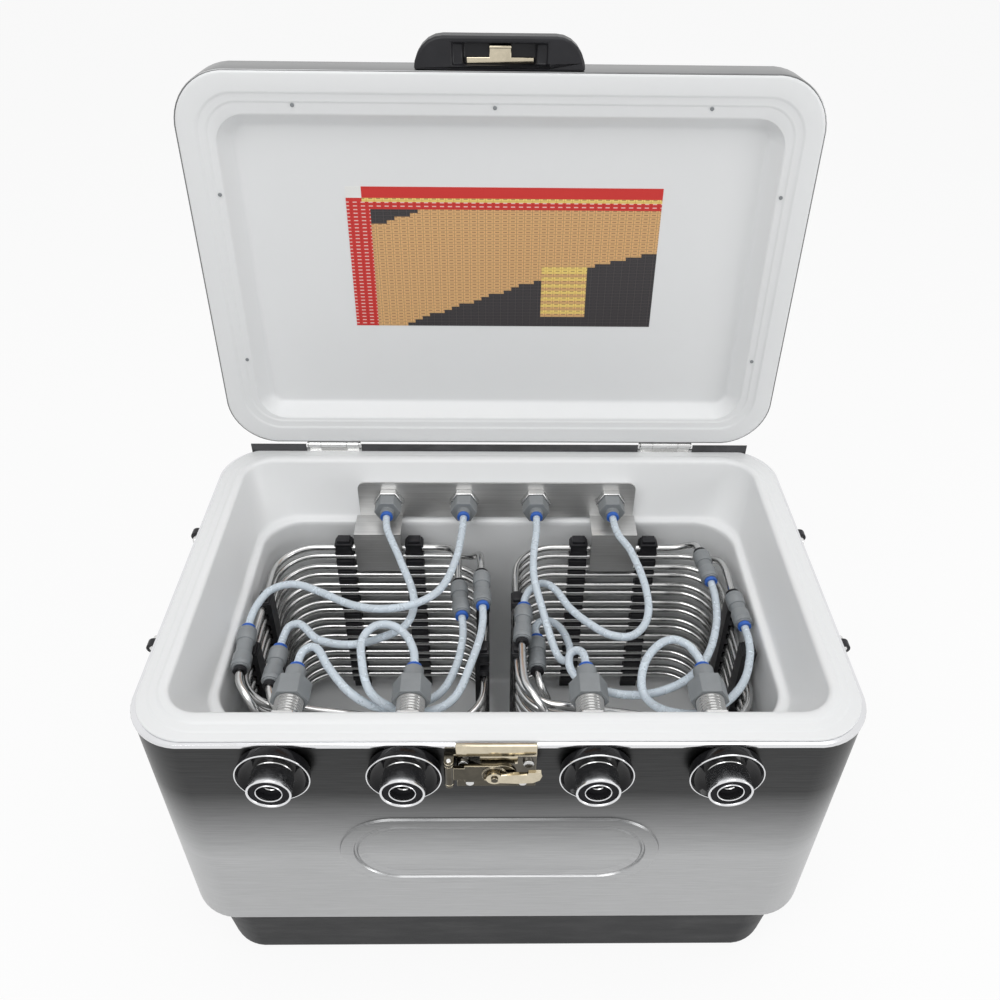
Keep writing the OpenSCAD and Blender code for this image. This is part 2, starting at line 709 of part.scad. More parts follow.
module coil_bracket() {
  top = rim_z - 9;
  tabs = [[-166, -113], [105, 157]];
  color("#c2c5c8") difference() {
    union() {
      translate([-162, plate_front, ledge_z + 3]) cube([317, plate_t, top - ledge_z - 3]);
      for (t = tabs) {
        translate([t[0], plate_front - 34, ledge_z + 3]) cube([t[1] - t[0], 35, plate_t]);
        translate([t[0], plate_front - 34, ledge_z - 22]) cube([t[1] - t[0], plate_t, 25.5]);
      }
    }
    for (x = inlet_x) rod_y(x, pad_y - 20, pad_y + 5, inlet_z, stem_d / 2 + seat);
  }
}

// ---- cooling tube, clips and unions ----
module coil_left_outer() { color("#b0b3b7") sweep(path_left_outer, coil_r, 6); }
module coil_left_inner() { color("#b0b3b7") sweep(path_left_inner, coil_r, 6); }
module coil_right_outer() { color("#b0b3b7") sweep(path_right_outer, coil_r, 6); }
module coil_right_inner() { color("#b0b3b7") sweep(path_right_inner, coil_r, 6); }

// teeth lie between the tubes; reach is along +Y from the tube's centre line
module comb(w) {
  low = coil_top - (loops - 1) * pitch - pair;
  translate([-w / 2, coil_r + grip, floor_z + seat])
    cube([w, 5, coil_top + 6.1 - floor_z - seat]);
  for (i = [0:loops - 1]) {
    z = coil_top - i * pitch;
    translate([-w / 2, -4.5, z + coil_r + grip])
      cube([w, coil_r + grip + 5.5, i == 0 ? 6.1 - coil_r - grip : pitch - pair - coil_d - 2 * grip]);
    translate([-w / 2, -4.5, z - pair + coil_r + grip])
      cube([w, coil_r + grip + 5.5, pair - coil_d - 2 * grip]);
  }
  translate([-w / 2, -4.5, low - coil_r - grip - 5]) cube([w, coil_r + grip + 5.5, 5]);
}

module coil_clips(ox) {
  color("#1b1c1e") {
    for (x = [-162, -91]) translate([x * sx + ox, coil_y1, 0]) comb(21);
    for (y = [-40, 30]) translate([coil_x0 + ox, y * sy, 0]) rotate([0, 0, -90]) comb(18);
    for (y = [-40, 30]) translate([coil_x1 + ox, y * sy, 0]) rotate([0, 0, 90]) comb(18);
  }
}

module coil_clips_left() { coil_clips(0); }
module coil_clips_right() { coil_clips(pack_step); }

module union_body(u) {
  len_u = norm(u[1] - u[0]);
  along(u[0], u[1]) difference() {
    union() {
      translate([0, 0, 4]) cylinder(h = len_u - 8, r = union_r - 1.5);
      translate([0, 0, 5]) cylinder(h = 16, r = union_r);
      translate([0, 0, len_u - 21]) cylinder(h = 16, r = union_r);
    }
    translate([0, 0, -5]) cylinder(h = len_u + 10, r = bore_r);
  }
}

module left_coil_unions() { color("#8c9094") for (u = left_unions) union_body(u); }
module right_coil_unions() { color("#8c9094") for (u = right_unions) union_body(u); }

module collet_ring(h) {
  difference() {
    cylinder(h = h, r = 7);
    translate([0, 0, -1]) cylinder(h = h + 2, r = bore_r);
  }
}

module steel_side_collets() {
  color("#2a2c2e") for (u = all_unions) along(u[1], u[0]) collet_ring(4 - seat);
}

module release_collets() {
  color("#2f5fae") {
    for (u = all_unions) along(u[0], u[1]) collet_ring(4 - seat);
    for (x = outlet_x) translate([x, fit_tip, outlet_z]) rotate([90, 0, 0]) collet_ring(5 - seat);
    for (x = inlet_x) translate([x, inlet_tip, inlet_z]) rotate([-90, 0, 0]) collet_ring(4 - seat);
  }
}

module inlet_hose_1() { color("#dfe6ea") sweep(hose_i1, hose_r, 8); }
module inlet_hose_2() { color("#dfe6ea") sweep(hose_i2, hose_r, 8); }
module inlet_hose_3() { color("#dfe6ea") sweep(hose_i3, hose_r, 8); }
module inlet_hose_4() { color("#dfe6ea") sweep(hose_i4, hose_r, 8); }
module outlet_hose_1() { color("#dfe6ea") sweep(hose_o1, hose_r, 8); }
module outlet_hose_2() { color("#dfe6ea") sweep(hose_o2, hose_r, 8); }
module outlet_hose_3() { color("#dfe6ea") sweep(hose_o3, hose_r, 8); }
module outlet_hose_4() { color("#dfe6ea") sweep(hose_o4, hose_r, 8); }

// ---- lid, drawn closed and turned open about the hinge ----
module open_lid() {
  translate([0, hinge_y, hinge_z]) rotate([-lid_open, 0, 0])
    translate([0, -hinge_y, -hinge_z]) children();
}

module lid_plan(inset) {
  translate([0, lid_mid]) rrect(2 * (lid_hw - inset), lid_len - 2 * inset, lid_r - inset);
}

module lid_cap() {
  color("#b9bcc0") open_lid() difference() {
    translate([0, 0, lid_z + 1.4]) linear_extrude(lid_t - 1.4) lid_plan(0);
    translate([0, 0, lid_z]) linear_extrude(lid_t - lid_skin) lid_plan(lid_skin);
  }
}

liner_t = lid_recess + 4;

module lid_liner() {
  color("#eef0ef") open_lid() difference() {
    translate([0, 0, lid_z]) linear_extrude(liner_t) lid_plan(lid_skin + seat);
    translate([0, 0, lid_z - 1]) linear_extrude(2.3) lid_plan(20);
    hull() {
      translate([0, 4, lid_z + 1.2]) linear_extrude(0.1) lid_plan(37);
      translate([0, 4, lid_z + lid_recess - 0.1]) linear_extrude(0.1) lid_plan(50);
    }
  }
}

module lid_foam() {
  color("#e6d9a8") open_lid() translate([0, 0, lid_z + liner_t + seat])
    linear_extrude(lid_t - lid_skin - liner_t - 2 * seat) lid_plan(lid_skin + seat);
}

module chart_label() {
  color("#e9d79a") open_lid()
    translate([-157, lid_back - 292.5, lid_z + lid_recess - 0.5 - seat]) cube([320, 152, 0.5]);
}

module lid_handle() {
  y0 = lid_front - seat;
  color("#17181a") open_lid() difference() {
    translate([-2.5, 0, lid_z + 1]) linear_extrude(20) polygon(concat(
      [for (a = [0:15:90]) [-handle_w / 2 + 27 * (1 - cos(a)), y0 - handle_reach * sin(a)]],
      [for (a = [90:-15:0]) [handle_w / 2 - 27 * (1 - cos(a)), y0 - handle_reach * sin(a)]]));
    translate([-46, y0 - handle_reach + 6, lid_z]) cube([87, handle_reach - 10, 6]);
    translate([-36, y0 - handle_reach + 6, lid_z]) cube([67, handle_reach - 10, 12]);
  }
}

module lid_strike() {
  y0 = lid_front - seat;
  color("#b3a78f") open_lid() {
    translate([-33, y0 - 10, lid_z + 12 - 2.5 - seat]) cube([62, 5.5, 2.5]);
    translate([-12, y0 - handle_reach + 8, lid_z + 12 - 2.5 - seat]) cube([20, handle_reach - 16, 2.5]);
    translate([-12, y0 - handle_reach + 8, lid_z + 2]) cube([20, 2.5, 9]);
  }
}

module hinge_lid_leaves() {
  color("#a9acb0") open_lid() for (x = hinge_x) difference() {
    union() {
      translate([x - 29, lid_back + seat, hinge_z + 5]) cube([58, 1.4, lid_t - 14]);
      translate([x - 14.7, lid_back + seat, hinge_z + 1]) cube([29.4, 3.8, 5]);
      rod_x(x - 14.7, x + 14.7, hinge_y, hinge_z, hinge_r);
    }
    rod_x(x - 16, x + 16, hinge_y, hinge_z, pin_r + turn);
  }
}

base_pan();
steel_shell();
rim_trim();
inner_tub();
body_foam();
drain_spout();
drain_nut();
drain_cap();
hinge_rail();
hinge_body_leaves();
hinge_pins();
latch_base();
latch_pin();
latch_hasp();
latch_lever();
handle_brackets();
body_screws();
outlet_flanges();
outlet_shanks();
shank_nuts();
shank_fittings();
coupling_nut_1();
coupling_nut_2();
coupling_nut_3();
coupling_nut_4();
inlet_bulkheads();
inlet_seals();
inlet_nuts();
inlet_fittings();
coil_bracket();
coil_left_outer();
coil_left_inner();
coil_right_outer();
coil_right_inner();
coil_clips_left();
coil_clips_right();
left_coil_unions();
right_coil_unions();
steel_side_collets();
release_collets();
inlet_hose_1();
inlet_hose_2();
inlet_hose_3();
inlet_hose_4();
outlet_hose_1();
outlet_hose_2();
outlet_hose_3();
outlet_hose_4();
lid_cap();
lid_liner();
lid_foam();
lid_handle();
lid_strike();
chart_label();
hinge_lid_leaves();
left_bail();
left_grip();
right_bail();
right_grip();
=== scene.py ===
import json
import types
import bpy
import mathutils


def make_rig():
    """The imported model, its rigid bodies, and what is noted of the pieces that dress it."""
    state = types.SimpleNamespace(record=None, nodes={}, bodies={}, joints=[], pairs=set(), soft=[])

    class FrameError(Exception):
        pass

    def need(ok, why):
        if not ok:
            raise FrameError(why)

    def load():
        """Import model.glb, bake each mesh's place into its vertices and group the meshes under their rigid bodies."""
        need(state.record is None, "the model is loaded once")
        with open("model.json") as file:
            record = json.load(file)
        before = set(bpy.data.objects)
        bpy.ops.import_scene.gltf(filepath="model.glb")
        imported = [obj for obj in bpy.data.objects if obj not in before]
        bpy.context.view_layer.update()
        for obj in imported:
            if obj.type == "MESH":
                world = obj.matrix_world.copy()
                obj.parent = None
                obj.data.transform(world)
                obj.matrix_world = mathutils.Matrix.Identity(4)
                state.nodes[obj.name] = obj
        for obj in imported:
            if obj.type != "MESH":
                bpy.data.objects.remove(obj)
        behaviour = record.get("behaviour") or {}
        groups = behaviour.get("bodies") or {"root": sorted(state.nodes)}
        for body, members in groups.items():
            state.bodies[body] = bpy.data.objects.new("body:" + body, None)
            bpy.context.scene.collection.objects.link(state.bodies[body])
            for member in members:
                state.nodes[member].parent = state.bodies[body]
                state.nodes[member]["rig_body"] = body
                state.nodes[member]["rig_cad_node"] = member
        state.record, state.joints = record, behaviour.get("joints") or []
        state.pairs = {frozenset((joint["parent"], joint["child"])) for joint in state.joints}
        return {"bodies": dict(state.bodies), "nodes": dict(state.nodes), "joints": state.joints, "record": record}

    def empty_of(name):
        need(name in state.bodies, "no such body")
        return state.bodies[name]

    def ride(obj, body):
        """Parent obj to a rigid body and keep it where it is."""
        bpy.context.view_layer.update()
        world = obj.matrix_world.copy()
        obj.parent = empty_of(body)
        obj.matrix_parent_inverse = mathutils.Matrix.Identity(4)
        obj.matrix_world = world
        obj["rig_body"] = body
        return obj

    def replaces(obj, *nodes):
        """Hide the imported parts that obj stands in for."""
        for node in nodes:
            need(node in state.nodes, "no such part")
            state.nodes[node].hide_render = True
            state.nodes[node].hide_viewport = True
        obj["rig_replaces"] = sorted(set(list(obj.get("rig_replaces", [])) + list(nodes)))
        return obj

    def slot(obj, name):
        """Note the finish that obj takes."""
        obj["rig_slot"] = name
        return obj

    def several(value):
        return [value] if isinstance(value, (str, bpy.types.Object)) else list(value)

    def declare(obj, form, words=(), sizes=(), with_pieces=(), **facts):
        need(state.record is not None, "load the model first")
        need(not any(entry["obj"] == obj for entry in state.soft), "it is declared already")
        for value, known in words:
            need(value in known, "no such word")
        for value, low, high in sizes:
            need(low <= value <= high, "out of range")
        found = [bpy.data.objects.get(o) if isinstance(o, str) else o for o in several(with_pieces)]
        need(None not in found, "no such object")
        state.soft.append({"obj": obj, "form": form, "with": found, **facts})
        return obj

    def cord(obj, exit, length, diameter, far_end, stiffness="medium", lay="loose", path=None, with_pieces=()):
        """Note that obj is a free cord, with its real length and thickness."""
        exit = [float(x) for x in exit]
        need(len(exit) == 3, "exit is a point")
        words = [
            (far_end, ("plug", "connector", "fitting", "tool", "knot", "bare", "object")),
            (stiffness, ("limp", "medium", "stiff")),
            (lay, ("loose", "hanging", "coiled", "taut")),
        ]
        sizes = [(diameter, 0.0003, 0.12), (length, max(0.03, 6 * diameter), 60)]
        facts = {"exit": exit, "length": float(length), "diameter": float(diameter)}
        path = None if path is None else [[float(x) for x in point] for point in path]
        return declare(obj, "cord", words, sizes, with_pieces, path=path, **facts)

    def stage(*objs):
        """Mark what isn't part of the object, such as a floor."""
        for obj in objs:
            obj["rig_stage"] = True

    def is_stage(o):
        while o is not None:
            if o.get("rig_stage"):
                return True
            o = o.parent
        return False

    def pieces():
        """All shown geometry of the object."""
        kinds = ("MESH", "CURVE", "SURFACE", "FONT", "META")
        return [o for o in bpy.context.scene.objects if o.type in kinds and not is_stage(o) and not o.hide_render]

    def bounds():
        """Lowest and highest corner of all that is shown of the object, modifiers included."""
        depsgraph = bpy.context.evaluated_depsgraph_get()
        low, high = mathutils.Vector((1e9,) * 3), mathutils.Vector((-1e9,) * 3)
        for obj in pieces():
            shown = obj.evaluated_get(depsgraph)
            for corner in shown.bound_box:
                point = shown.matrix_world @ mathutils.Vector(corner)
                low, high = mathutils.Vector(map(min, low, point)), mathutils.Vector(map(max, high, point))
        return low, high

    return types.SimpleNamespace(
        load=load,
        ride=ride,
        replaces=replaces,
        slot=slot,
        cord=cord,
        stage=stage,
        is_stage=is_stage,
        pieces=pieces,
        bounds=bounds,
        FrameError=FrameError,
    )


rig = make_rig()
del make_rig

bl_info = {
    "name": "Jockey box beer cooler",
    "version": (1, 0, 0),
    "blender": (4, 5, 0),
    "location": "View3D > Sidebar > Cooler",
    "description": "Dresses the packed cooler: skin, tub, lid, outlets, coils and hoses",
    "category": "Add Mesh",
}

import json
import math
import sys

import bmesh
import bpy
from bpy.props import FloatProperty, FloatVectorProperty, IntProperty, PointerProperty
from mathutils import Matrix, Vector

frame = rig.load()
CAD_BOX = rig.bounds()
MM = 0.001

# Every length below is in millimetres.
# Hinge axis, and the turn from the lid drawn closed to the lid as it stands open.
HINGE = Vector((0.0, 200.5, 399.8))
SWING = Matrix.Rotation(math.radians(-93), 4, "X")
OPEN = Matrix.Translation(HINGE) @ SWING @ Matrix.Translation(-HINGE)
# the closed lid: underside, back edge, and its middle in y
LID_Z = 395.8
LID_BACK = 195.8
LID_MID = -6.7
# the front's face; outlets and inlets: places across, height, and where the hose enters
FRONT = -205.0
OUTLET_X = (-190.0, -80.7, 80.7, 190.0)
OUTLET_Z = 360.0
OUTLET_TIP = -97.0
INLET_X = (-127.0, -41.0, 41.0, 127.0)
INLET_Z = 362.0
INLET_TIP = 112.7
# the chart: cells each way, and the size of one
CELLS = 40
CELL_X = 8.0
CELL_Y = 3.8
# lines nearer than this are one line on the pieces that are spun
WELD = 0.01

# unions: hose end, then steel end
UNIONS = {
    "a": ((-255, -26, 335), (-251, -84, 335)),
    "b": ((-220, -46, 328), (-221, -96, 328)),
    "c": ((-39.5, -6, 328), (-45, 46, 328)),
    "d": ((-18, 1, 336), (-20, 53, 336)),
    "e": ((25.5, 11, 328), (22.3, -42, 328)),
    "f": ((39, -8, 300), (38, -56, 300)),
    "g": ((230, 44, 329), (226, 94, 329)),
    "h": ((253, -20, 328), (250, 30, 328)),
}

# hose routes as in the part's source: fitting, points, union
HOSES = {
    "inlet_hose_1": ("b", [(-124, 92, 362), (-106, 46, 360), (-88, -6, 356), (-93, -36, 351),
        (-118, -52, 348), (-147, -58, 345), (-180, -49, 342), (-202, -26, 339), (-214, -24, 334),
        (-219, -34, 329)]),
    "inlet_hose_2": ("a", [(-42, 86, 363), (-47, 40, 366), (-61, -6, 369), (-85, -28, 371),
        (-118, -34, 370), (-150, -22, 364), (-185, 3, 356), (-214, 18, 352), (-239, 17, 345),
        (-251, 2, 339), (-255, -14, 335.5)]),
    "inlet_hose_3": ("f", [(40, 88, 360), (37, 66, 357), (36, 30, 351), (44, -5, 339),
        (53, -40, 328), (61, -55, 320), (70, -48, 313), (72, -25, 307), (64, 4, 302),
        (50, 16, 300), (39, 8, 300)]),
    "inlet_hose_4": ("e", [(130, 86, 362), (141, 62, 360), (151, 13, 356), (149, -27, 352),
        (132, -50, 350), (110, -49, 349), (90, -33, 348), (72, -10, 346), (59, 22, 340),
        (46, 39, 333), (33, 34, 329), (27, 22, 328)]),
    "outlet_hose_1": ("c", [(-188, -82, 361), (-181, -76, 362), (-173, -80, 363),
        (-160, -101, 362), (-138, -124, 355), (-115, -130, 342), (-84, -121, 331),
        (-57, -103, 328), (-43, -70, 328), (-38, -38, 328), (-38, -20, 328)]),
    "outlet_hose_2": ("d", [(-83, -78, 361), (-92, -60, 362), (-106, -50, 364), (-122, -53, 366),
        (-132, -70, 366), (-129, -98, 366), (-121, -123, 360), (-109, -131, 350),
        (-84, -132, 336), (-58, -127, 335), (-41, -112, 336), (-29, -76, 336), (-20, -40, 336),
        (-17.5, -16, 336)]),
    "outlet_hose_3": ("g", [(79, -80, 358), (73, -73, 354), (67, -76, 350), (68, -88, 343),
        (79, -99, 338), (98, -108, 337), (125, -113, 337), (153, -109, 338), (182, -93, 338),
        (206, -62, 335), (223, -19, 332), (230, 20, 329)]),
    "outlet_hose_4": ("h", [(187, -84, 361), (179, -73, 363), (165, -69, 365), (148, -80, 366),
        (134, -102, 365), (131, -124, 357), (142, -132, 346), (165, -133, 336),
        (190, -131, 334), (214, -118, 334), (236, -92, 332), (249, -60, 330), (253, -38, 328.5)]),
}

# leads of the four cooling tubes: from the first union, then after the last turn to the second
LEADS = {
    "coil_left_outer": ("c", "a", 0.0, 312.0, 30,
        [(-46, 68, 328), (-48, 90, 325), (-58, 110, 318), (-78, 118, 312)],
        [(-234, -108, 103), (-228, -118, 108), (-226, -121, 122), (-226, -121, 300),
         (-229, -119, 318), (-239, -110, 331), (-248, -97, 335)]),
    "coil_left_inner": ("d", "b", 0.0, 299.0, 60,
        [(-21, 72, 335), (-23, 90, 327), (-32, 104, 311), (-48, 114, 302), (-68, 118, 299)],
        [(-214, -110, 90), (-206, -118, 95), (-203, -121, 109), (-203, -121, 304),
         (-206, -120, 318), (-214, -114, 326)]),
    "coil_right_outer": ("g", "e", 271.5, 312.0, 30,
        [(224, 106, 327), (215, 115, 318), (198, 118, 312)],
        [(39, -108, 103), (45, -118, 108), (47, -121, 122), (47, -121, 302), (43, -118, 318),
         (33, -106, 326), (24, -88, 328)]),
    "coil_right_inner": ("h", "f", 271.5, 299.0, 0,
        [(250, 62, 328), (249, 84, 322), (240, 102, 310), (225, 113, 302), (206, 118, 299)],
        [(21, -72, 89.5), (29, -84, 91), (41, -86, 97), (49, -82, 112), (51, -79, 132),
         (51, -79, 262), (48, -78, 284), (42, -72, 297)]),
}


# ---------------------------------------------------------------- shader maths
class Sock:
    """A node's output, so that maths on it reads as Python and adds the nodes it needs."""

    def __init__(self, tree, out):
        self.tree = tree
        self.out = out

    def maths(self, operation, *terms, clamp=False):
        node = self.tree.nodes.new("ShaderNodeMath")
        node.operation = operation
        node.use_clamp = clamp
        for i, value in enumerate(terms):
            plug(self.tree, node.inputs[i], value)
        return Sock(self.tree, node.outputs[0])

    def __add__(self, b):
        return self.maths("ADD", self, b)

    def __radd__(self, b):
        return self.maths("ADD", b, self)

    def __sub__(self, b):
        return self.maths("SUBTRACT", self, b)

    def __rsub__(self, b):
        return self.maths("SUBTRACT", b, self)

    def __mul__(self, b):
        return self.maths("MULTIPLY", self, b)

    def __rmul__(self, b):
        return self.maths("MULTIPLY", b, self)

    def above(self, b):
        return self.maths("GREATER_THAN", self, b)

    def most(self, b):
        return self.maths("MAXIMUM", self, b)

    def wrap(self):
        return self.maths("FRACT", self)

    def limit(self):
        """Held between 0 and 1."""
        return self.maths("ADD", self, 0.0, clamp=True)


def plug(tree, socket, value):
    """Join a link, or set a number, colour or vector, on a socket."""
    if isinstance(value, Sock):
        tree.links.new(value.out, socket)
    else:
        socket.default_value = value


def opaque(colour):
    """A link as it is, or a colour with its fourth number."""
    return colour if isinstance(colour, Sock) else (*colour[:3], 1.0)


def shade(colour, k):
    return tuple(min(1.0, c * k) for c in colour[:3])


class Nodes:
    """A node tree, with one method for any node that is not a Math node."""

    def __init__(self, tree):
        self.tree = tree

    def node(self, kind, settings=None, out=0, **values):
        """Settings come first, then sockets by name or as in0, in1; returns one output."""
        node = self.tree.nodes.new(kind)
        for key, value in (settings or {}).items():
            setattr(node, key, value)
        for key, value in values.items():
            spot = int(key[2:]) if key[2:].isdigit() else key.replace("_", " ")
            plug(self.tree, node.inputs[spot], value)
        return Sock(self.tree, node.outputs[out])

    def seen(self):
        """One for camera, glossy and transmission rays, else nought."""
        kinds = ("Is Camera Ray", "Is Glossy Ray", "Is Transmission Ray")
        camera, glossy, through = (self.node("ShaderNodeLightPath", out=kind) for kind in kinds)
        return camera.most(glossy).most(through)


class Finish(Nodes):
    """One material: a Principled shader and the nodes that feed it."""

    def __init__(self, name, **values):
        self.mat = bpy.data.materials.new(name)
        self.mat.use_nodes = True
        super().__init__(self.mat.node_tree)
        self.shader = self.tree.nodes["Principled BSDF"]
        self.put(**values)

    def put(self, **values):
        """Set or feed the shader's own sockets."""
        for key, value in values.items():
            socket = self.shader.inputs[key.replace("_", " ")]
            plug(self.tree, socket, opaque(value) if key == "Base_Color" else value)

    def place(self, scale=(1, 1, 1), at=(0, 0, 0)):
        """Object coordinates, moved and stretched."""
        where = self.node("ShaderNodeTexCoord", out="Object")
        return self.node("ShaderNodeMapping", in0=where, Location=at, Scale=scale)

    def axes(self, where):
        outs = self.node("ShaderNodeSeparateXYZ", in0=where).out.node.outputs
        return [Sock(self.tree, out) for out in outs]

    def noise(self, where, scale, detail=3.0, rough=0.5):
        return self.node("ShaderNodeTexNoise", in0=where, Scale=scale, Detail=detail,
                         Roughness=rough)

    def cells(self, scale):
        return self.node("ShaderNodeTexVoronoi", {"feature": "F1"}, in0=self.place(), Scale=scale)

    def blend(self, mask, a, b):
        """Between two colours; 6 and 7 are a Mix node's colour inputs, and 2 its colour output."""
        return self.node("ShaderNodeMix", {"data_type": "RGBA"}, out=2, in0=mask,
                         in6=opaque(a), in7=opaque(b))

    def bump(self, height, strength, distance=0.001):
        self.put(Normal=self.node("ShaderNodeBump", Strength=strength, Distance=distance,
                                  Height=height))
        return self


# Finishes of two colours along one noise, which drives the roughness too. Each row has the
# colours, as a tone with two factors or as two colours; the noise's scale, detail and roughness;
# the roughness's share and its least; the bump's strength and depth; and what else is set, where
# a grain is a finer noise for the bump.
MOTTLED = {
    # folded strip between the hinges, painted near-black as shade, dusty in places
    "dark_strip": (((0.03, 0.03, 0.032), (0.13, 0.13, 0.135)), (1.0, 4.0, 0.65), (0.25, 0.3),
                   (0.06, 0.0003), {"stretch": (30, 90, 90), "Metallic": 0.6}),
    # rolled edge of polished steel
    "bright_trim": (("chrome", 0.88, 1.0), (1.0, 3.0), (0.10, 0.12), (0.04, 0.0003),
                    {"stretch": (30, 30, 400), "Metallic": 1.0}),
    # satin plastic of the clips, grips and caps
    "black_plastic": (("black", 0.8, 1.9), (40.0, 4.0, 0.6), (0.2, 0.28), (0.10, 0.0002),
                      {"grain": (1200.0, 2.0), "Specular_IOR_Level": 0.25}),
    # push-fit bodies, with a slightly pitted skin
    "grey_plastic": (("grey", 0.86, 1.18), (60.0, 3.0), (0.16, 0.30), (0.12, 0.0002),
                     {"grain": (1500.0, 2.0)}),
    # release rings
    "blue_plastic": (("blue", 0.8, 1.25), (220.0, 3.0), (0.15, 0.25), (0.05, 0.0002), {}),
    # matt washers
    "rubber_seal": (("black", 0.8, 1.5), (300.0, 3.0), (0.2, 0.6), (0.10, 0.0002),
                    {"Specular_IOR_Level": 0.1}),
    # plated latch, duller and yellower in patches, and its plates, painted dark as a reflection between edges in the
    # plain nickel
    "warm_nickel": (("nickel", 0.66, 1.12), (120.0, 4.0, 0.65), (0.16, 0.06), (0.08, 0.0002),
                    {"Metallic": 1.0}),
    "dark_nickel": (("nickel", 0.05, 0.20), (90.0, 4.0, 0.65), (0.16, 0.14), (0.06, 0.0002),
                    {"Metallic": 1.0}),
    # milky hose: some light passes, and the wall is cloudier in places
    "clear_hose": (("hose", 0.93, 1.07), (90.0, 3.0), (0.14, 0.20), (0.03, 0.0002),
                   {"Transmission_Weight": 0.22, "IOR": 1.42, "Specular_IOR_Level": 0.5}),
    # unprinted corner of the chart
    "print_white": (((0.78, 0.78, 0.76), (0.84, 0.84, 0.82)), (900.0, 2.0), (0.1, 0.3),
                    (0.02, 0.0001), {}),
}
# Stainless steel with drawn lines under a cloudy film. Each row has two factors of the tube's
# tone; the lines' stretch, detail and roughness; the film's scale, detail and roughness; the
# roughness's share of either and its least; the bump's strength; whether the colour follows the
# lines and not the film; and how metallic it is.
LINED = {
    # nuts, screws and hinges
    "steel_parts": (0.95, 1.30, ((40, 500, 500), 3.0, 0.6), (45.0, 4.0, 0.5),
                    (0.10, 0.10, 0.16), 0.06, True, 1.0),
    # the bracket's satin sheet, brushed level, with smears
    "sheet_steel": (0.72, 1.15, ((12, 700, 700), 3.0, 0.7), (24.0, 4.0, 0.6),
                    (0.14, 0.12, 0.26), 0.08, True, 0.8),
    # cooling tube, bright, with cloudy patches and fine scratches
    "steel_tube": (0.80, 1.10, ((90, 90, 1400), 3.0, 0.7), (38.0, 4.0, 0.6),
                   (0.08, 0.10, 0.10), 0.04, False, 1.0),
}
# The chart's cells: ground, rule and mark, as tones with a factor or as colours, and the ink.
PRINTS = {
    "print_red": (("red", 1.0), ("red", 0.8), (0.85, 0.75, 0.7), 0.7),
    "print_head": (("red", 1.0), ("red", 1.0), ("red", 1.0), 0.0),
    "print_tan": (("tan", 1.0), ("tan", 0.55), (0.22, 0.10, 0.05), 0.7),
    "print_yellow": ((0.86, 0.66, 0.20), (0.6, 0.4, 0.1), (0.25, 0.12, 0.04), 0.7),
    "print_dark": ((0.035, 0.032, 0.035), (0.07, 0.06, 0.06), (0.05, 0.045, 0.045), 0.7),
}


def finish_of(key):
    """The material of that key, made once."""
    name = key + "_finish"
    found = bpy.data.materials.get(name)
    if found:
        return found
    tone = bpy.context.scene.cooler_tones
    for table, make in ((MOTTLED, mottled), (LINED, lined), (PRINTS, printed)):
        if key in table:
            return make(name, tone, *table[key]).mat
    return globals()["make_" + key](name, tone).mat


def mottled(name, tone, colours, noise, rough, bump, more):
    """A row of MOTTLED."""
    values = dict(more)
    stretch = values.pop("stretch", (1, 1, 1))
    grain = values.pop("grain", None)
    if isinstance(colours[0], str):
        colours = [shade(getattr(tone, colours[0]), k) for k in colours[1:]]
    f = Finish(name, **values)
    mask = f.noise(f.place(scale=stretch), *noise)
    f.put(Base_Color=f.blend(mask, *colours), Roughness=mask * rough[0] + rough[1])
    return f.bump(f.noise(f.place(), *grain) if grain else mask, *bump)


def lined(name, tone, low, high, lines, film, rough, bump, follow, metal):
    """A row of LINED."""
    f = Finish(name, Metallic=metal)
    drawn = f.noise(f.place(scale=lines[0]), 1.0, *lines[1:])
    cloud = f.noise(f.place(), *film)
    colours = (shade(tone.tube, low), shade(tone.tube, high))
    f.put(
        Base_Color=f.blend(drawn if follow else cloud, *colours),
        Roughness=drawn * rough[0] + cloud * rough[1] + rough[2],
    )
    return f.bump(drawn, bump, 0.0002)


def printed(name, tone, colour, line, dash, ink):
    """A row of PRINTS: a thin rule round every cell, and a short mark where a figure would be."""
    parts = (colour, line, dash)
    colour, line, dash = (shade(getattr(tone, c[0]), c[1]) if len(c) == 2 else c for c in parts)
    f = Finish(name, Specular_IOR_Level=0.35)
    per_cell = (1 / (CELL_X * MM), 1, 1 / (CELL_Y * MM))
    x, _, z = f.axes(f.place(scale=per_cell, at=(20.0, 0, 0.5)))
    u = x.wrap()
    v = z.wrap()
    rule = (u.above(0.93) + v.above(0.88)).limit()
    mark = u.above(0.22) * (1 - u.above(0.74)) * v.above(0.30) * (1 - v.above(0.58))
    speck = f.noise(f.place(), 900.0, 2.0)
    base = f.blend(rule, colour, line)
    f.put(Base_Color=f.blend(mark * ink, base, dash), Roughness=speck * 0.1 + 0.28)
    return f.bump(speck, 0.02, 0.0001)


def brushed(name, tone, gloom):
    """Sheet steel brushed level: long faint scratches, cloudy marks, and a share of a darker copy that is a painted
    reflection.
    """
    f = Finish(name, Metallic=1.0)
    grain = f.noise(f.place(scale=(14, 14, 1300)), 1.0, 3.0, 0.7)
    fine = f.noise(f.place(scale=(50, 50, 3600)), 1.0, 2.0, 0.6)
    cloud = f.noise(f.place(), 7.0, 3.0, 0.55)
    streak = ((grain * 0.6 + fine * 0.4 - 0.5) * 2.0 + 0.5).limit()
    light = f.blend(streak, shade(tone.steel, 0.62), shade(tone.steel, 1.04))
    # a dark copy of the steel, laid on as painted reflection
    dark = f.blend(streak, shade(tone.steel, 0.05), shade(tone.steel, 0.14))
    f.put(
        Base_Color=f.blend(gloom(f), light, dark),
        Roughness=streak * 0.14 + cloud * 0.08 + 0.22,
    )
    return f.bump(streak, 0.12, 0.0004)


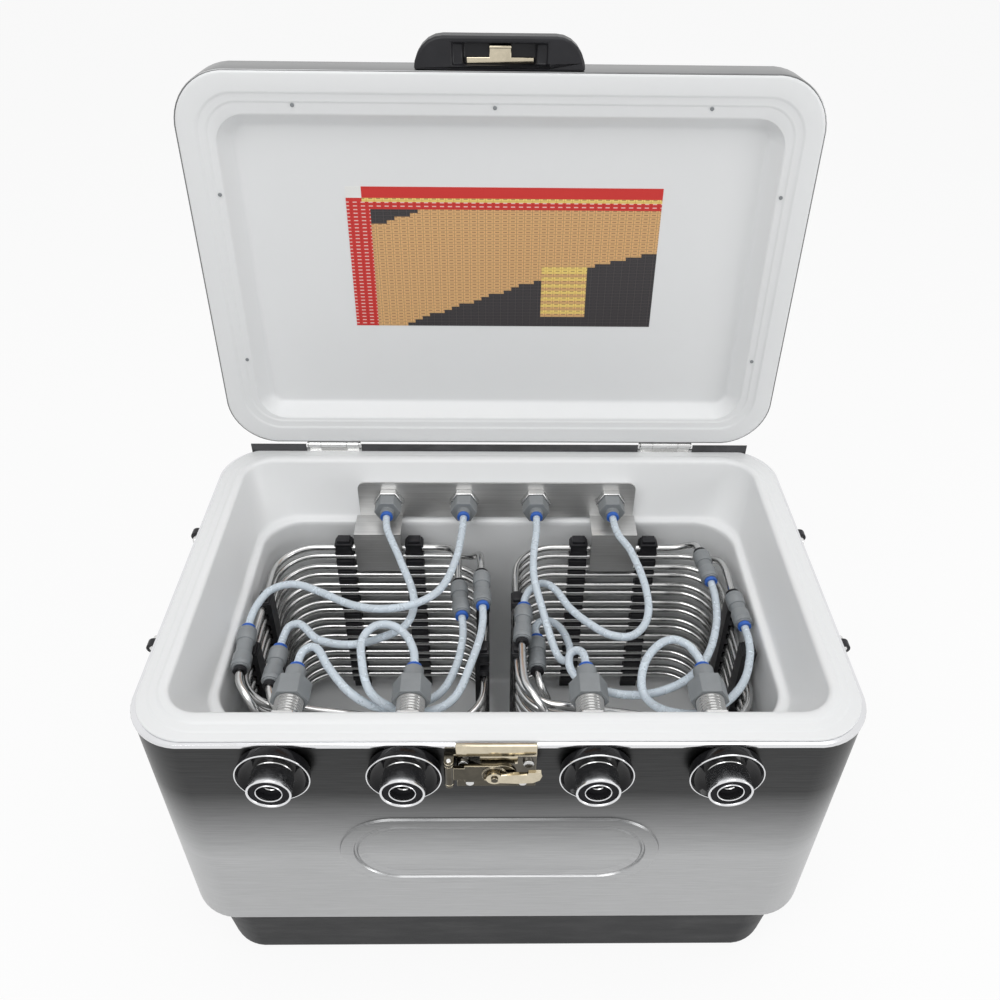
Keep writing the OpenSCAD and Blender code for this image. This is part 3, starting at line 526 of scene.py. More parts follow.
def make_steel_skin(name, tone):
    """The body's skin. The photograph shows the front darker towards its top, as the room's
    reflection, so that is laid on as colour, in full on the front and weakly elsewhere."""

    def gloom(f):
        _, depth, height = f.axes(f.place())
        front = ((-0.11 - depth) * 12.0).limit()
        return ((height - 0.215) * 9.5).limit() * (front * 0.68 + 0.32)

    return brushed(name, tone, gloom)


def make_lid_steel(name, tone):
    """The lid's cap, in one even tone, about half of it the painted dark reflection."""
    return brushed(name, tone, lambda f: f.noise(f.place(), 5.0) * 0.1 + 0.5)


def make_white_plastic(name, tone):
    """Moulded white plastic: faint orange peel, and a little grey in broad cloudy patches."""
    f = Finish(name, Specular_IOR_Level=0.45)
    peel = f.noise(f.place(), 900.0, 2.0)
    soil = f.noise(f.place(), 9.0, 4.0, 0.65)
    f.put(
        Base_Color=f.blend((soil - 0.45).limit() * 0.5, tone.white, shade(tone.white, 0.93)),
        Roughness=soil * 0.14 + 0.28,
    )
    return f.bump(peel, 0.05, 0.0003)


def make_charcoal_plastic(name, tone):
    """The base: dark plastic with a fine leather grain, scuffed lighter in places."""
    f = Finish(name, Specular_IOR_Level=0.12)
    scuff = f.noise(f.place(scale=(14, 14, 60)), 1.0, 5.0, 0.7)
    worn = ((scuff - 0.58) * 5.0).limit()
    f.put(
        Base_Color=f.blend(worn, tone.charcoal, shade(tone.charcoal, 1.7)),
        Roughness=scuff * 0.25 + 0.34,
    )
    return f.bump(f.cells(700.0), 0.18, 0.0004)


def make_black_gloss(name, tone):
    """Polished black of the outlets' dishes."""
    f = Finish(name, Specular_IOR_Level=0.15)
    dust = f.noise(f.place(), 160.0, 4.0, 0.7)
    f.put(
        Base_Color=f.blend((dust - 0.5).limit(), shade(tone.black, 0.7), shade(tone.black, 2.4)),
        Roughness=dust * 0.12 + 0.07,
        Coat_Weight=0.10,
        Coat_Roughness=0.08,
    )
    return f.bump(dust, 0.02, 0.0002)


def make_chrome_metal(name, tone):
    """Bright plating of the couplings, with faint water marks."""
    f = Finish(name, Metallic=1.0)
    film = f.noise(f.place(), 55.0, 4.0, 0.6)
    f.put(
        Base_Color=f.blend(film, shade(tone.chrome, 0.92), tone.chrome),
        Roughness=(film - 0.35).limit() * 0.22 + 0.17,
    )
    return f.bump(film, 0.02, 0.0002)


def make_foam(name, tone):
    """Insulating foam, seen only where a part is taken off."""
    f = Finish(name)
    cell = f.cells(500.0)
    f.put(
        Base_Color=f.blend(cell, (0.72, 0.60, 0.34), (0.84, 0.74, 0.47)),
        Roughness=cell * 0.1 + 0.8,
    )
    return f.bump(cell, 0.3, 0.0006)


# ---------------------------------------------------------------- mesh helpers
def piece(name, bm, keys, body, slot, replaces=(), smooth=35.0, normals=True, matrix=None):
    """Turn a bmesh drawn in millimetres into a finished piece that rides on a body."""
    if normals:
        bmesh.ops.recalc_face_normals(bm, faces=bm.faces)
    if matrix is not None:
        bmesh.ops.transform(bm, matrix=matrix, verts=bm.verts)
    bmesh.ops.scale(bm, vec=(MM, MM, MM), verts=bm.verts)
    mesh = bpy.data.meshes.new(name)
    bm.to_mesh(mesh)
    bm.free()
    obj = bpy.data.objects.new(name, mesh)
    bpy.context.scene.collection.objects.link(obj)
    for key in keys:
        mesh.materials.append(finish_of(key))
    if smooth:
        mesh.polygons.foreach_set("use_smooth", [True] * len(mesh.polygons))
        mesh.set_sharp_from_angle(angle=math.radians(smooth))
    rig.ride(obj, body)
    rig.slot(obj, slot)
    if replaces:
        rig.replaces(obj, *replaces)
    return obj


def ring(hx, hy, r, z, cy=0.0):
    """A rounded rectangle at a height: half width, half depth, corner radius, and its middle."""
    return hx, hy, r, z, cy


def quarters(bm, verts, old, new):
    """Move the four quarters of a ring of vertices from one rounded rectangle to another."""
    ox, oy, orad, oz, oc = old
    nx, ny, nrad, nz, nc = new
    for sx in (-1, 1):
        for sy in (-1, 1):
            part = [v for v in verts if v.co.x * sx > 0 and (v.co.y - oc) * sy > 0]
            middle = Vector((sx * (ox - orad), sy * (oy - orad) + oc, oz))
            grow = (nrad / orad, nrad / orad, 1)
            bmesh.ops.scale(bm, vec=grow, space=Matrix.Translation(-middle), verts=part)
            target = Vector((sx * (nx - nrad), sy * (ny - nrad) + nc, nz))
            bmesh.ops.translate(bm, vec=target - middle, verts=part)


def loft(bm, rings, closed=False):
    """Carry one loop of edges through rounded rectangles; its ends are joined up or both filled."""
    n = 4 * bpy.context.scene.cooler_sizes.corner_steps
    verts = bmesh.ops.create_circle(bm, segments=n, radius=1.0)["verts"]
    half_step = Matrix.Rotation(math.pi / n, 3, "Z")
    bmesh.ops.rotate(bm, verts=verts, cent=(0, 0, 0), matrix=half_step)
    begin = edges = list({e for v in verts for e in v.link_edges})
    opening = verts
    quarters(bm, verts, (1.0, 1.0, 1.0, 0.0, 0.0), rings[0])
    for old, new in zip(rings, rings[1:] + ([rings[0]] if closed else [])):
        made = bmesh.ops.extrude_edge_only(bm, edges=edges)["geom"]
        verts = [g for g in made if isinstance(g, bmesh.types.BMVert)]
        fresh = set(verts)
        edges = [g for g in made
                 if isinstance(g, bmesh.types.BMEdge) and fresh.issuperset(g.verts)]
        quarters(bm, verts, old, new)
    if closed:
        bmesh.ops.remove_doubles(bm, verts=opening + verts, dist=0.001)
    else:
        bmesh.ops.edgeloop_fill(bm, edges=begin)
        bmesh.ops.edgeloop_fill(bm, edges=edges)


def lathe(bm, profile, at, axis, steps=40, closed=True):
    """Spin a profile of (radius, distance along the axis) about an axis through a point."""
    verts = [bm.verts.new((r, 0, h)) for r, h in profile]
    edges = [bm.edges.new(p) for p in zip(verts, verts[1:])]
    if closed:
        edges.append(bm.edges.new((verts[-1], verts[0])))
    before = set(bm.verts) - set(verts)
    bmesh.ops.spin(bm, geom=verts + edges, cent=(0, 0, 0), axis=(0, 0, 1), angle=2 * math.pi,
                   steps=steps, use_merge=True)
    made = [v for v in bm.verts if v not in before]
    turn = Vector((0, 0, 1)).rotation_difference(Vector(axis).normalized()).to_matrix().to_4x4()
    bmesh.ops.transform(bm, matrix=Matrix.Translation(Vector(at)) @ turn, verts=made)
    return made


def block(bm, low, high, soft=0.0):
    """A box between two corners, its edges rounded."""
    made = bmesh.ops.create_cube(bm, size=1.0)["verts"]
    size = [h - l for l, h in zip(low, high)]
    mid = [(l + h) / 2 for l, h in zip(low, high)]
    bmesh.ops.scale(bm, vec=size, verts=made)
    bmesh.ops.translate(bm, vec=mid, verts=made)
    if soft:
        edges = list({e for v in made for e in v.link_edges})
        bmesh.ops.bevel(bm, geom=edges, offset=soft, segments=2, profile=0.5,
                        affect="EDGES", material=-1)


def soften(node, width, key, slot, body, edge=None, moves=()):
    """Stand a copy of a CAD node in its place, merged, with its edges rounded.

    The edges may have a finish of their own, and moves slide the combs that stand round an x on
    the back run.
    """
    angle, back, reach = 28.0, 100, 14
    bm = bmesh.new()
    bm.from_mesh(frame["nodes"][node].data)
    bmesh.ops.scale(bm, vec=(1000, 1000, 1000), verts=bm.verts)
    bmesh.ops.remove_doubles(bm, verts=bm.verts, dist=0.004)
    bmesh.ops.dissolve_limit(bm, angle_limit=math.radians(0.6), verts=bm.verts, edges=bm.edges)
    for x, step in moves:
        verts = [v for v in bm.verts if v.co.y > back and abs(v.co.x - x) < reach]
        bmesh.ops.translate(bm, vec=(step, 0, 0), verts=verts)
    keys = [key, edge] if edge else [key]
    obj = piece("soft_" + node, bm, keys, body, slot, [node], smooth=angle, normals=False)
    mod = obj.modifiers.new("edge", "BEVEL")
    mod.width = width * MM
    mod.segments = 2
    mod.limit_method = "ANGLE"
    mod.angle_limit = math.radians(angle)
    mod.use_clamp_overlap = True
    if edge:
        mod.material = 1
    return obj


def tube(name, points, radius, key, body, slot, node, rounds=3):
    """A round tube on one smooth line through points in millimetres."""
    curve = bpy.data.curves.new(name, "CURVE")
    curve.dimensions = "3D"
    curve.bevel_depth = radius * MM
    curve.bevel_resolution = rounds
    curve.resolution_u = 6
    curve.use_fill_caps = True
    line = curve.splines.new("BEZIER")
    line.bezier_points.add(len(points) - 1)
    pts = [Vector(p) * MM for p in points]
    for i, (spot, p) in enumerate(zip(line.bezier_points, pts)):
        before = pts[max(i - 1, 0)]
        after = pts[min(i + 1, len(pts) - 1)]
        way = (after - before).normalized()
        spot.co = p
        spot.handle_left_type = spot.handle_right_type = "FREE"
        spot.handle_left = p - way * (p - before).length / 3
        spot.handle_right = p + way * (after - p).length / 3
    obj = bpy.data.objects.new(name, curve)
    bpy.context.scene.collection.objects.link(obj)
    curve.materials.append(finish_of(key))
    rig.ride(obj, body)
    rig.slot(obj, slot)
    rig.replaces(obj, node)
    return obj


def into(union, end, distance):
    """A point inside a union, at a distance from its hose end (0) or its steel end (1)."""
    a, b = (Vector(p) for p in UNIONS[union])
    p, q = (a, b) if end == 0 else (b, a)
    return p + (q - p).normalized() * distance


# ---------------------------------------------------------------- what a user would change
def mm_property(name, what, default, low, high):
    return FloatProperty(name=name, description=what + ", mm", default=default, min=low, max=high)


class CoolerSizes(bpy.types.PropertyGroup):
    """Sizes of the dressed parts."""

    corner_steps: IntProperty(name="Corner steps", description="Facets in each rounded corner",
                              default=12, min=6, max=24)
    badge_height: mm_property("Badge height", "How far the embossed band stands out", 2.4, 0.3, 3)
    coil_d: mm_property("Cooling tube", "Outside diameter of the steel tube", 8.0, 6.0, 8.5)
    hose_d: mm_property("Hose", "Outside diameter of the clear hose", 8.0, 6.0, 8.0)
    thread_pitch: mm_property("Thread pitch", "Pitch of the shanks' thread", 3.0, 1.0, 4.0)
    edge_round: mm_property("Edge rounding", "Rounding of the small parts' edges", 0.6, 0.1, 1.2)


def tone_property(name, default):
    return FloatVectorProperty(name=name, description=name + " of the finish", subtype="COLOR",
                               size=3, default=default, min=0.0, max=1.0)


class CoolerTones(bpy.types.PropertyGroup):
    """Colours of the finishes."""

    steel: tone_property("Steel skin", (0.52, 0.525, 0.53))
    chrome: tone_property("Chrome", (0.80, 0.805, 0.82))
    tube: tone_property("Stainless tube", (0.60, 0.60, 0.595))
    nickel: tone_property("Latch nickel", (0.66, 0.59, 0.45))
    white: tone_property("White plastic", (0.80, 0.81, 0.815))
    charcoal: tone_property("Base", (0.009, 0.0095, 0.011))
    black: tone_property("Black plastic", (0.014, 0.014, 0.016))
    grey: tone_property("Grey fittings", (0.225, 0.240, 0.250))
    blue: tone_property("Release rings", (0.035, 0.13, 0.50))
    hose: tone_property("Hose", (0.70, 0.78, 0.85))
    red: tone_property("Chart red", (0.62, 0.035, 0.03))
    tan: tone_property("Chart tan", (0.72, 0.43, 0.19))


# ---------------------------------------------------------------- operators
# rings from low to high, as inset and height
WALL = [
    (15, 99.1), (3.0, 99.1), (1.2, 99.5), (0.3, 100.4), (0, 102), (0, 383), (0.3, 384.4),
    (1.3, 385), (2.4, 384.4), (2.4, 101.5), (15, 100.3),
]
TRIM = [
    (-0.6, 385.2), (-1.0, 386.0), (-1.0, 388.2), (-0.4, 389.5), (1.0, 390.0), (8.0, 390.0),
    (9.9, 389.6), (10.8, 388.4), (10.8, 385.2),
]
# as half width, half depth, corner radius and height
FOOT = [
    (286, 176, 34, 0.0), (292, 182, 40, 0.0), (295.6, 185.6, 43, 0.9), (297.8, 187.8, 44.5, 3.4),
    (298.4, 188.3, 45, 7.0), (303.6, 192.2, 47.2, 70.0), (304.0, 192.5, 47.4, 71.0),
    (304.0, 192.6, 47.4, 73.0), (305.0, 193.3, 47.6, 74.0), (306.0, 194.0, 48, 97.5),
    (305.4, 193.4, 47.6, 98.8), (303.4, 191.4, 46, 99.0), (302.6, 190.6, 45.5, 98.0),
    (295.2, 185.0, 43, 5.0), (292.0, 182.0, 40, 3.5),
]


class COOLER_OT_body(bpy.types.Operator):
    """Steel skin with its embossed band, the rolled trim and the moulded base"""

    bl_idname = "cooler.body"
    bl_label = "Body"

    def execute(self, context):
        sizes = context.scene.cooler_sizes
        bm = bmesh.new()
        loft(bm, [ring(317 - i, 205 - i, 52 - i, z) for i, z in WALL], closed=True)
        piece("steel_skin_wall", bm, ["steel_skin"], "cooler", "steel_skin", ["steel_shell"])

        # the band is drawn flat, then stood up against the front
        bm = bmesh.new()
        h = sizes.badge_height
        band = [(150.0, 55.0, 54.9, -0.4), (148.9, 53.9, 53.8, 0.0), (147.9, 52.9, 52.8, h * 0.8),
                (146.8, 51.8, 51.7, h), (143.5, 49.8, 49.7, h), (140.2, 47.8, 47.7, h),
                (136.9, 45.9, 45.8, h), (135.9, 45.0, 44.9, h * 0.8),
                (135.1, 44.2, 44.1, 0.05), (134.3, 43.4, 43.3, -0.4), (137, 45.9, 45.8, -0.8),
                (140.2, 47.8, 47.7, -0.9), (143.5, 49.8, 49.7, -0.9), (147, 52.2, 52.1, -0.8)]
        loft(bm, [ring(*spot) for spot in band], closed=True)
        # and a second, lower one inside it
        panel = [(134.3, 43.3, 43.2, -0.4), (132.9, 41.9, 41.8, 0.05),
                 (131.6, 40.6, 40.5, h * 0.62), (129.6, 38.8, 38.7, h * 0.62),
                 (128.0, 37.2, 37.1, h * 0.3), (126.2, 35.4, 35.3, 0.02), (124.0, 33.2, 33.1, -0.4)]
        loft(bm, [ring(*spot) for spot in panel], closed=True)
        stand = Matrix.Translation((0, FRONT, 226.5)) @ Matrix.Rotation(math.radians(90), 4, "X")
        piece("embossed_band", bm, ["steel_skin"], "cooler", "steel_skin", matrix=stand)

        bm = bmesh.new()
        loft(bm, [ring(317 - i, 205 - i * 0.91, 52.5, z) for i, z in TRIM], closed=True)
        piece("rolled_trim", bm, ["bright_trim"], "cooler", "bright_trim", ["rim_trim"])

        bm = bmesh.new()
        loft(bm, [ring(*spot) for spot in FOOT])
        piece("moulded_base", bm, ["charcoal_plastic"], "cooler", "charcoal_plastic", ["base_pan"])
        return {"FINISHED"}


# from the floor's underside out to the rim and down inside, as half width, half depth, radius
# and height
TUB = [
    (250, 124, 34, 54.6), (262, 136, 42, 56.0), (265.4, 139.4, 44, 62), (269.4, 143.4, 45, 328),
    (277.4, 151.4, 45, 331), (291.4, 177.8, 34.5, 385.3), (305.0, 194.0, 51, 385.3),
    (306.0, 195.0, 52, 386.2), (306.0, 195.0, 52, 390.05), (313.2, 202.2, 52.4, 390.05),
    (314.0, 202.8, 52.6, 390.5), (314.2, 203.0, 52.8, 391.2), (313.8, 202.6, 52.6, 391.9),
    (312.6, 201.4, 52.2, 392.3), (307.0, 195.8, 51.8, 392.4), (306.0, 194.8, 51.5, 392.6),
    (305.2, 194.0, 51.0, 393.1), (304.2, 193.2, 50.4, 393.3), (299.6, 188.4, 46, 393.45),
    (298.4, 187.0, 45, 393.7), (297.5, 186.0, 44, 394.5), (296.3, 184.8, 43, 395.0),
    (291.6, 179.2, 36, 395.0), (289.6, 176.6, 33, 394.5), (288.3, 174.9, 31.6, 393.0),
    (287.8, 174.0, 31, 390.5), (281.4, 161.8, 36, 362), (275.2, 150.2, 41, 337.0),
    (274.4, 148.7, 41.5, 334.8), (273.2, 147.4, 41, 333.5), (271.0, 145.2, 41, 333.0),
    (268.6, 142.8, 41, 332.8), (267.2, 141.2, 41.2, 332.0), (266.3, 140.3, 41.5, 330.4),
    (265.9, 139.9, 41.5, 326), (262.7, 136.7, 41.5, 74), (262.0, 136.0, 41.0, 67),
    (259.8, 133.8, 39.5, 61.5), (256.0, 130.0, 37, 58.7), (251.0, 125.0, 33, 58.0),
]


class COOLER_OT_tub(bpy.types.Operator):
    """White tub: stepped rim, sloping upper walls, ledge, lower walls and floor"""

    bl_idname = "cooler.tub"
    bl_label = "Tub"

    def execute(self, context):
        bm = bmesh.new()
        loft(bm, [ring(*spot) for spot in TUB])
        # pad behind the bracket: its top slopes down to the back, its front edges are round
        pad = bmesh.ops.create_cube(bm, size=1.0)["verts"]
        bmesh.ops.scale(bm, vec=(311, 27, 49), verts=pad)
        bmesh.ops.translate(bm, vec=(-3.5, 160.5, 357.5), verts=pad)
        back = [v for v in pad if v.co.y > 160]
        bmesh.ops.translate(bm, vec=(0, 0, -16), verts=[v for v in back if v.co.z > 370])
        edges = {e for v in pad for e in v.link_edges}
        rim = [e for e in edges if any(v.co.y < 160 for v in e.verts)]
        bmesh.ops.bevel(bm, geom=rim, offset=3.0, segments=4, profile=0.5, affect="EDGES",
                        material=-1)
        piece("moulded_tub", bm, ["white_plastic"], "cooler", "white_plastic", ["inner_tub"])
        return {"FINISHED"}


# blind plugs in the liner: across, and up from the hinge
PLUGS = (
    (-195.8, 373.5), (-6.7, 372.5), (197, 373.5), (-277, 288.7), (277, 290), (-278, 106.7),
    (278, 107.4), (-197, 22.5), (-6, 22.0), (197, 22.5),
)


class COOLER_OT_lid(bpy.types.Operator):
    """Lid: steel cap, white liner with its stepped frame, and blind plugs"""

    bl_idname = "cooler.lid"
    bl_label = "Lid"

    def execute(self, context):
        bm = bmesh.new()
        cap = [(1.9, 397.9), (0.9, 397.0), (0.2, 397.3), (0, 398.4), (0, 433.0), (0.7, 436.6),
               (2.6, 439.2), (5.8, 440.4), (9, 440.7), (30, 440.75), (60, 440.8)]
        back = [(60, 439.8), (9, 439.7), (1.9, 436.0)]
        rows = [ring(309 - i, 202.5 - i, 54 - min(i, 44), z, cy=LID_MID) for i, z in back + cap]
        loft(bm, rows)
        piece("steel_lid_cap", bm, ["lid_steel"], "lid", "steel_skin", ["lid_cap"], matrix=OPEN)

        bm = bmesh.new()
        edge = [
            (0.3, 419.6), (0, 418.0), (0, 398.4), (0.3, 396.9), (1.2, 396.1), (2.8, 395.8),
            (17.5, 395.8), (18.8, 396.0), (19.8, 396.7), (20.8, 397.1), (26.0, 397.1),
            (27.2, 397.4), (28.0, 398.0), (29.0, 398.3)]
        rows = [ring(307.8 - i, 201.3 - i, 52.9 - i * 0.72, z, cy=LID_MID) for i, z in edge]
        bowl = [
            (33.6, 398.4, 33), (35.0, 398.8, 30), (36.2, 400.2, 27), (38.0, 404.0, 25),
            (46.0, 413.4, 15), (47.4, 414.9, 13), (49.0, 415.6, 12), (51.0, 415.8, 11)]
        rows += [ring(307.8 - i, 201.3 - i, r, z, cy=LID_MID + 4) for i, z, r in bowl]
        loft(bm, rows)
        piece("lid_liner_moulding", bm, ["white_plastic"], "lid", "white_plastic", ["lid_liner"],
              matrix=OPEN)

        bm = bmesh.new()
        for x, run in PLUGS:
            lathe(bm, [(0.0, 0.5), (1.5, 0.45), (1.9, 0.1), (1.9, -1.5), (0.0, -1.5)],
                  (x, LID_BACK - run, LID_Z + 1.8), (0, 0, -1), steps=14, closed=False)
        bmesh.ops.remove_doubles(bm, verts=bm.verts, dist=WELD)
        piece("blind_plugs", bm, ["grey_plastic"], "lid", "grey_plastic", matrix=OPEN)
        return {"FINISHED"}


class COOLER_OT_chart(bpy.types.Operator):
    """Printed chart on the lid: a plain table of coloured cells"""

    bl_idname = "cooler.chart"
    bl_label = "Chart"

    def execute(self, context):
        bm = bmesh.new()
        bmesh.ops.create_grid(bm, x_segments=CELLS, y_segments=CELLS, size=0.5)
        bmesh.ops.scale(bm, vec=(CELLS * CELL_X, CELLS * CELL_Y, 1), verts=bm.verts)
        prints = ("tan", "red", "dark", "yellow", "white", "head")
        for face in bm.faces:
            mid = face.calc_center_median()
            print_of = self.cell(int(mid.x / CELL_X + CELLS / 2), int(CELLS / 2 - mid.y / CELL_Y))
            face.material_index = prints.index(print_of)
        bmesh.ops.solidify(bm, geom=bm.faces[:], thickness=0.4)
        # print faces the front of the open lid; up the sheet is away from the hinge
        spot = Matrix.Translation((3, LID_BACK - 216.5, LID_Z + 19.6))
        lay = OPEN @ spot @ Matrix.Rotation(math.pi, 4, "X")
        piece("printed_chart", bm, ["print_" + key for key in prints], "lid", "chart_print",
              ["chart_label"], smooth=0, normals=False, matrix=lay)
        return {"FINISHED"}

    @staticmethod
    def cell(c, r):
        """Which print a cell has; c counts from the left, r from the sheet's top."""
        if r < 3:
            return "white" if c < 2 else "head"
        if r == 3:
            return "yellow" if c > 1 else "head"
        if r < 6 or c < 3:
            return "red"
        # a small table of its own, low on the right
        if 25 <= c <= 30 and 22 <= r <= 36:
            return "yellow" if r < 24 or r % 2 else "tan"
        # cells without figures: below a falling curve, and in the first corner
        below = r > 38.5 - 0.86 * (c - 7) + 0.0062 * (c - 7) ** 2
        corner = (c - 3) + (r - 6) * 1.5 < 6
        return "dark" if below or corner else "tan"


# outlets, as radius and distance ahead of the front: black dish with a chrome ring on its lip as a
# painted highlight, the black seat between the collar and the shank's open end, partly a seal and
# partly painted dark reflection lining the collar's mouth, the bright ring round the bore, the
# collar, and the shank's outer half with its bore
DISH = [(13.2, 0.4), (27.2, 0.4), (29.4, 1.0), (30.5, 2.6), (31.2, 8.0), (31.6, 11.0), (31.4, 11.6),
        (30.9, 11.8), (30.4, 11.5), (29.5, 9.6), (27.4, 7.0), (24.2, 5.2), (20.5, 4.4), (13.2, 4.2)]
DISH_EDGE = [(31.7, 11.2), (31.6, 11.8), (31.1, 12.1), (30.6, 11.9), (30.7, 11.4)]
# the seat: partly a seal, partly painted dark reflection where it lines the collar's chrome mouth
SEAT = [(6.3, 18.7), (13.0, 18.7), (13.0, 23.4), (16.4, 23.8), (16.4, 25.2), (16.1, 25.5),
        (11.9, 25.5), (11.6, 25.2), (11.5, 24.4), (10.4, 24.2), (10.3, 20.4), (6.8, 20.2),
        (6.3, 19.8)]
BORE_RING = [(11.6, 24.5), (11.5, 25.9), (11.2, 26.3), (10.8, 26.3), (10.4, 25.9), (10.4, 24.5)]
COLLAR = [(13.2, 8.6), (17.2, 8.6), (17.9, 9.1), (18.2, 10.0), (18.6, 24.6), (18.8, 25.6),
          (18.7, 26.4), (18.2, 26.9), (17.6, 27.0), (17.0, 26.7), (16.6, 26.0), (16.5, 23.7),
          (13.2, 23.2)]
SHANK = [(6.1, -82.6), (6.1, 17.8), (6.6, 18.6), (11.6, 18.6), (12.4, 17.8), (12.9, 16.8),
         (12.9, 8.0), (16.6, 8.0), (17.0, 7.4), (17.0, 4.4), (13.0, 4.2)]
CREST, ROOT, THREAD_START, THREAD_END = 12.95, 11.2, -6.0, -81.0


class COOLER_OT_outlets(bpy.types.Operator):
    """Outlets: black dishes, chrome couplings and threaded shanks"""

    bl_idname = "cooler.outlets"
    bl_label = "Outlets"

    def execute(self, context):
        shank = SHANK + self.thread(context.scene.cooler_sizes.thread_pitch) + [(11.0, -82.6)]
        ahead = (0, -1, 0)
        dishes, shanks, rings, seats = (bmesh.new() for _ in range(4))
        for i, x in enumerate(OUTLET_X):
            at = (x, FRONT, OUTLET_Z)
            # black seat, partly a seal and partly painted dark reflection inside the chrome collar
            lathe(seats, SEAT, at, ahead, steps=48)
            lathe(dishes, DISH, at, ahead, steps=56)
            # chrome ring on the dish's lip, a painted highlight
            lathe(rings, DISH_EDGE, at, ahead, steps=56)
            lathe(rings, BORE_RING, at, ahead, steps=48)
            nut = bmesh.new()
            lathe(nut, COLLAR, at, ahead, steps=56)
            piece("coupling_%d_body" % (i + 1), nut, ["chrome_metal"], "coupling_%d" % (i + 1),
                  "chrome_metal", ["coupling_nut_%d" % (i + 1)])
            lathe(shanks, shank, at, ahead, steps=36)
        piece("outlet_dishes", dishes, ["black_gloss"], "cooler", "black_gloss",
              ["outlet_flanges"])
        piece("coupling_seats", seats, ["rubber_seal"], "cooler", "rubber_seal")
        piece("highlight_and_bore_rings", rings, ["chrome_metal"], "cooler", "chrome_metal")
        piece("threaded_shanks", shanks, ["steel_tube"], "cooler", "chrome_metal",
              ["outlet_shanks"], smooth=25)
        return {"FINISHED"}

    @staticmethod
    def thread(pitch):
        """The thread as level rings, a crest and a root to each pitch."""
        out = []
        depth = THREAD_START
        while depth > THREAD_END:
            middle = depth - 0.5 * pitch
            out += [(CREST, depth), (CREST, depth - 0.25), (ROOT, middle), (ROOT, middle - 0.25)]
            depth -= pitch
        return out


class COOLER_OT_bracket(bpy.types.Operator):
    """Stainless bracket on the back wall with its two bent tabs"""

    bl_idname = "cooler.bracket"
    bl_label = "Bracket"

    def execute(self, context):
        bm = bmesh.new()
        y0, y1 = 144.9, 146.9
        block(bm, (-162, y0, 336), (155, y1, 386))
        # the two short edges at the top, which make the plate's round corners
        top = [e for e in bm.edges if all(v.co.z > 385 for v in e.verts)
               and abs(e.verts[0].co.x - e.verts[1].co.x) < 0.01]
        bmesh.ops.bevel(bm, geom=top, offset=9, segments=8, profile=0.5, affect="EDGES",
                        material=-1)
        for x0, x1 in ((-166, -113), (105, 157)):
            block(bm, (x0, y0 - 34, 336), (x1, y0 + 0.6, 338), soft=0.5)
            block(bm, (x0, y0 - 34, 281), (x1, y0 - 32, 337.6), soft=0.6)
        # head of the screw on the right tab
        lathe(bm, [(0.0, 0.5), (4.4, 0.5), (5.2, 0.3), (5.6, -0.6), (0.0, -0.6)],
              (131, y0 - 16, 338.2), (0, 0, 1), steps=28, closed=False)
        bmesh.ops.remove_doubles(bm, verts=bm.verts, dist=WELD)
        piece("inlet_bracket", bm, ["sheet_steel"], "cooler", "steel_parts", ["coil_bracket"])
        return {"FINISHED"}


class COOLER_OT_coils(bpy.types.Operator):
    """Four coiled cooling tubes in two packs"""

    bl_idname = "cooler.coils"
    bl_label = "Coils"

    def execute(self, context):
        radius = context.scene.cooler_sizes.coil_d / 2
        for node, (start, stop, shift, top, last, lead, tail) in LEADS.items():
            points = [into(start, 1, 12), Vector(UNIONS[start][1])] + [Vector(p) for p in lead]
            points += self.turns(shift, top, last)
            points += [Vector(p) for p in tail] + [Vector(UNIONS[stop][1]), into(stop, 1, 12)]
            tube(node + "_tube", points, radius, "steel_tube", "cooler", "steel_tube", node)
        return {"FINISHED"}

    @staticmethod
    def turns(shift, top, last, loops=8, pitch=30.0, bend=45.0):
        """Rounded turns, each level except for its front run, which climbs."""
        x0, x1, y0, y1 = -254 + shift, -16 + shift, -106, 118
        out = []

        def corner(cx, cy, start, z, sweep=90):
            for a in range(0, sweep + 1, 15):
                t = math.radians(start + a)
                out.append(Vector((cx + bend * math.cos(t), cy + bend * math.sin(t), z)))

        def straight(a, b):
            for k in (0.08, 0.5, 0.92):
                out.append(a.lerp(b, k))

        for i in range(loops):
            z = top - i * pitch
            here = Vector((x0 + bend, y1, z))
            if i:
                straight(out[-1], here)
            corner(x0 + bend, y1 - bend, 90, z)
            straight(Vector((x0, y1 - bend, z)), Vector((x0, y0 + bend, z)))
            if i == loops - 1:
                corner(x0 + bend, y0 + bend, 180, z, last)
                break
            corner(x0 + bend, y0 + bend, 180, z)
            straight(Vector((x0 + bend, y0, z)), Vector((x1 - bend, y0, z - pitch)))
            corner(x1 - bend, y0 + bend, 270, z - pitch)
            straight(Vector((x1, y0 + bend, z - pitch)), Vector((x1, y1 - bend, z - pitch)))
            corner(x1 - bend, y1 - bend, 0, z - pitch)
        return out


# one half of a union, as radius and distance from its end
HALF_UNION = [(4.3, 4.0), (7.4, 4.0), (7.9, 4.4), (8.1, 5.2), (9.1, 5.4), (9.5, 6.0), (9.5, 9.0),
              (9.2, 9.3), (9.2, 10.3), (9.5, 10.6), (9.5, 19.8), (9.1, 20.6), (8.1, 20.9),
              (8.0, 21.6)]


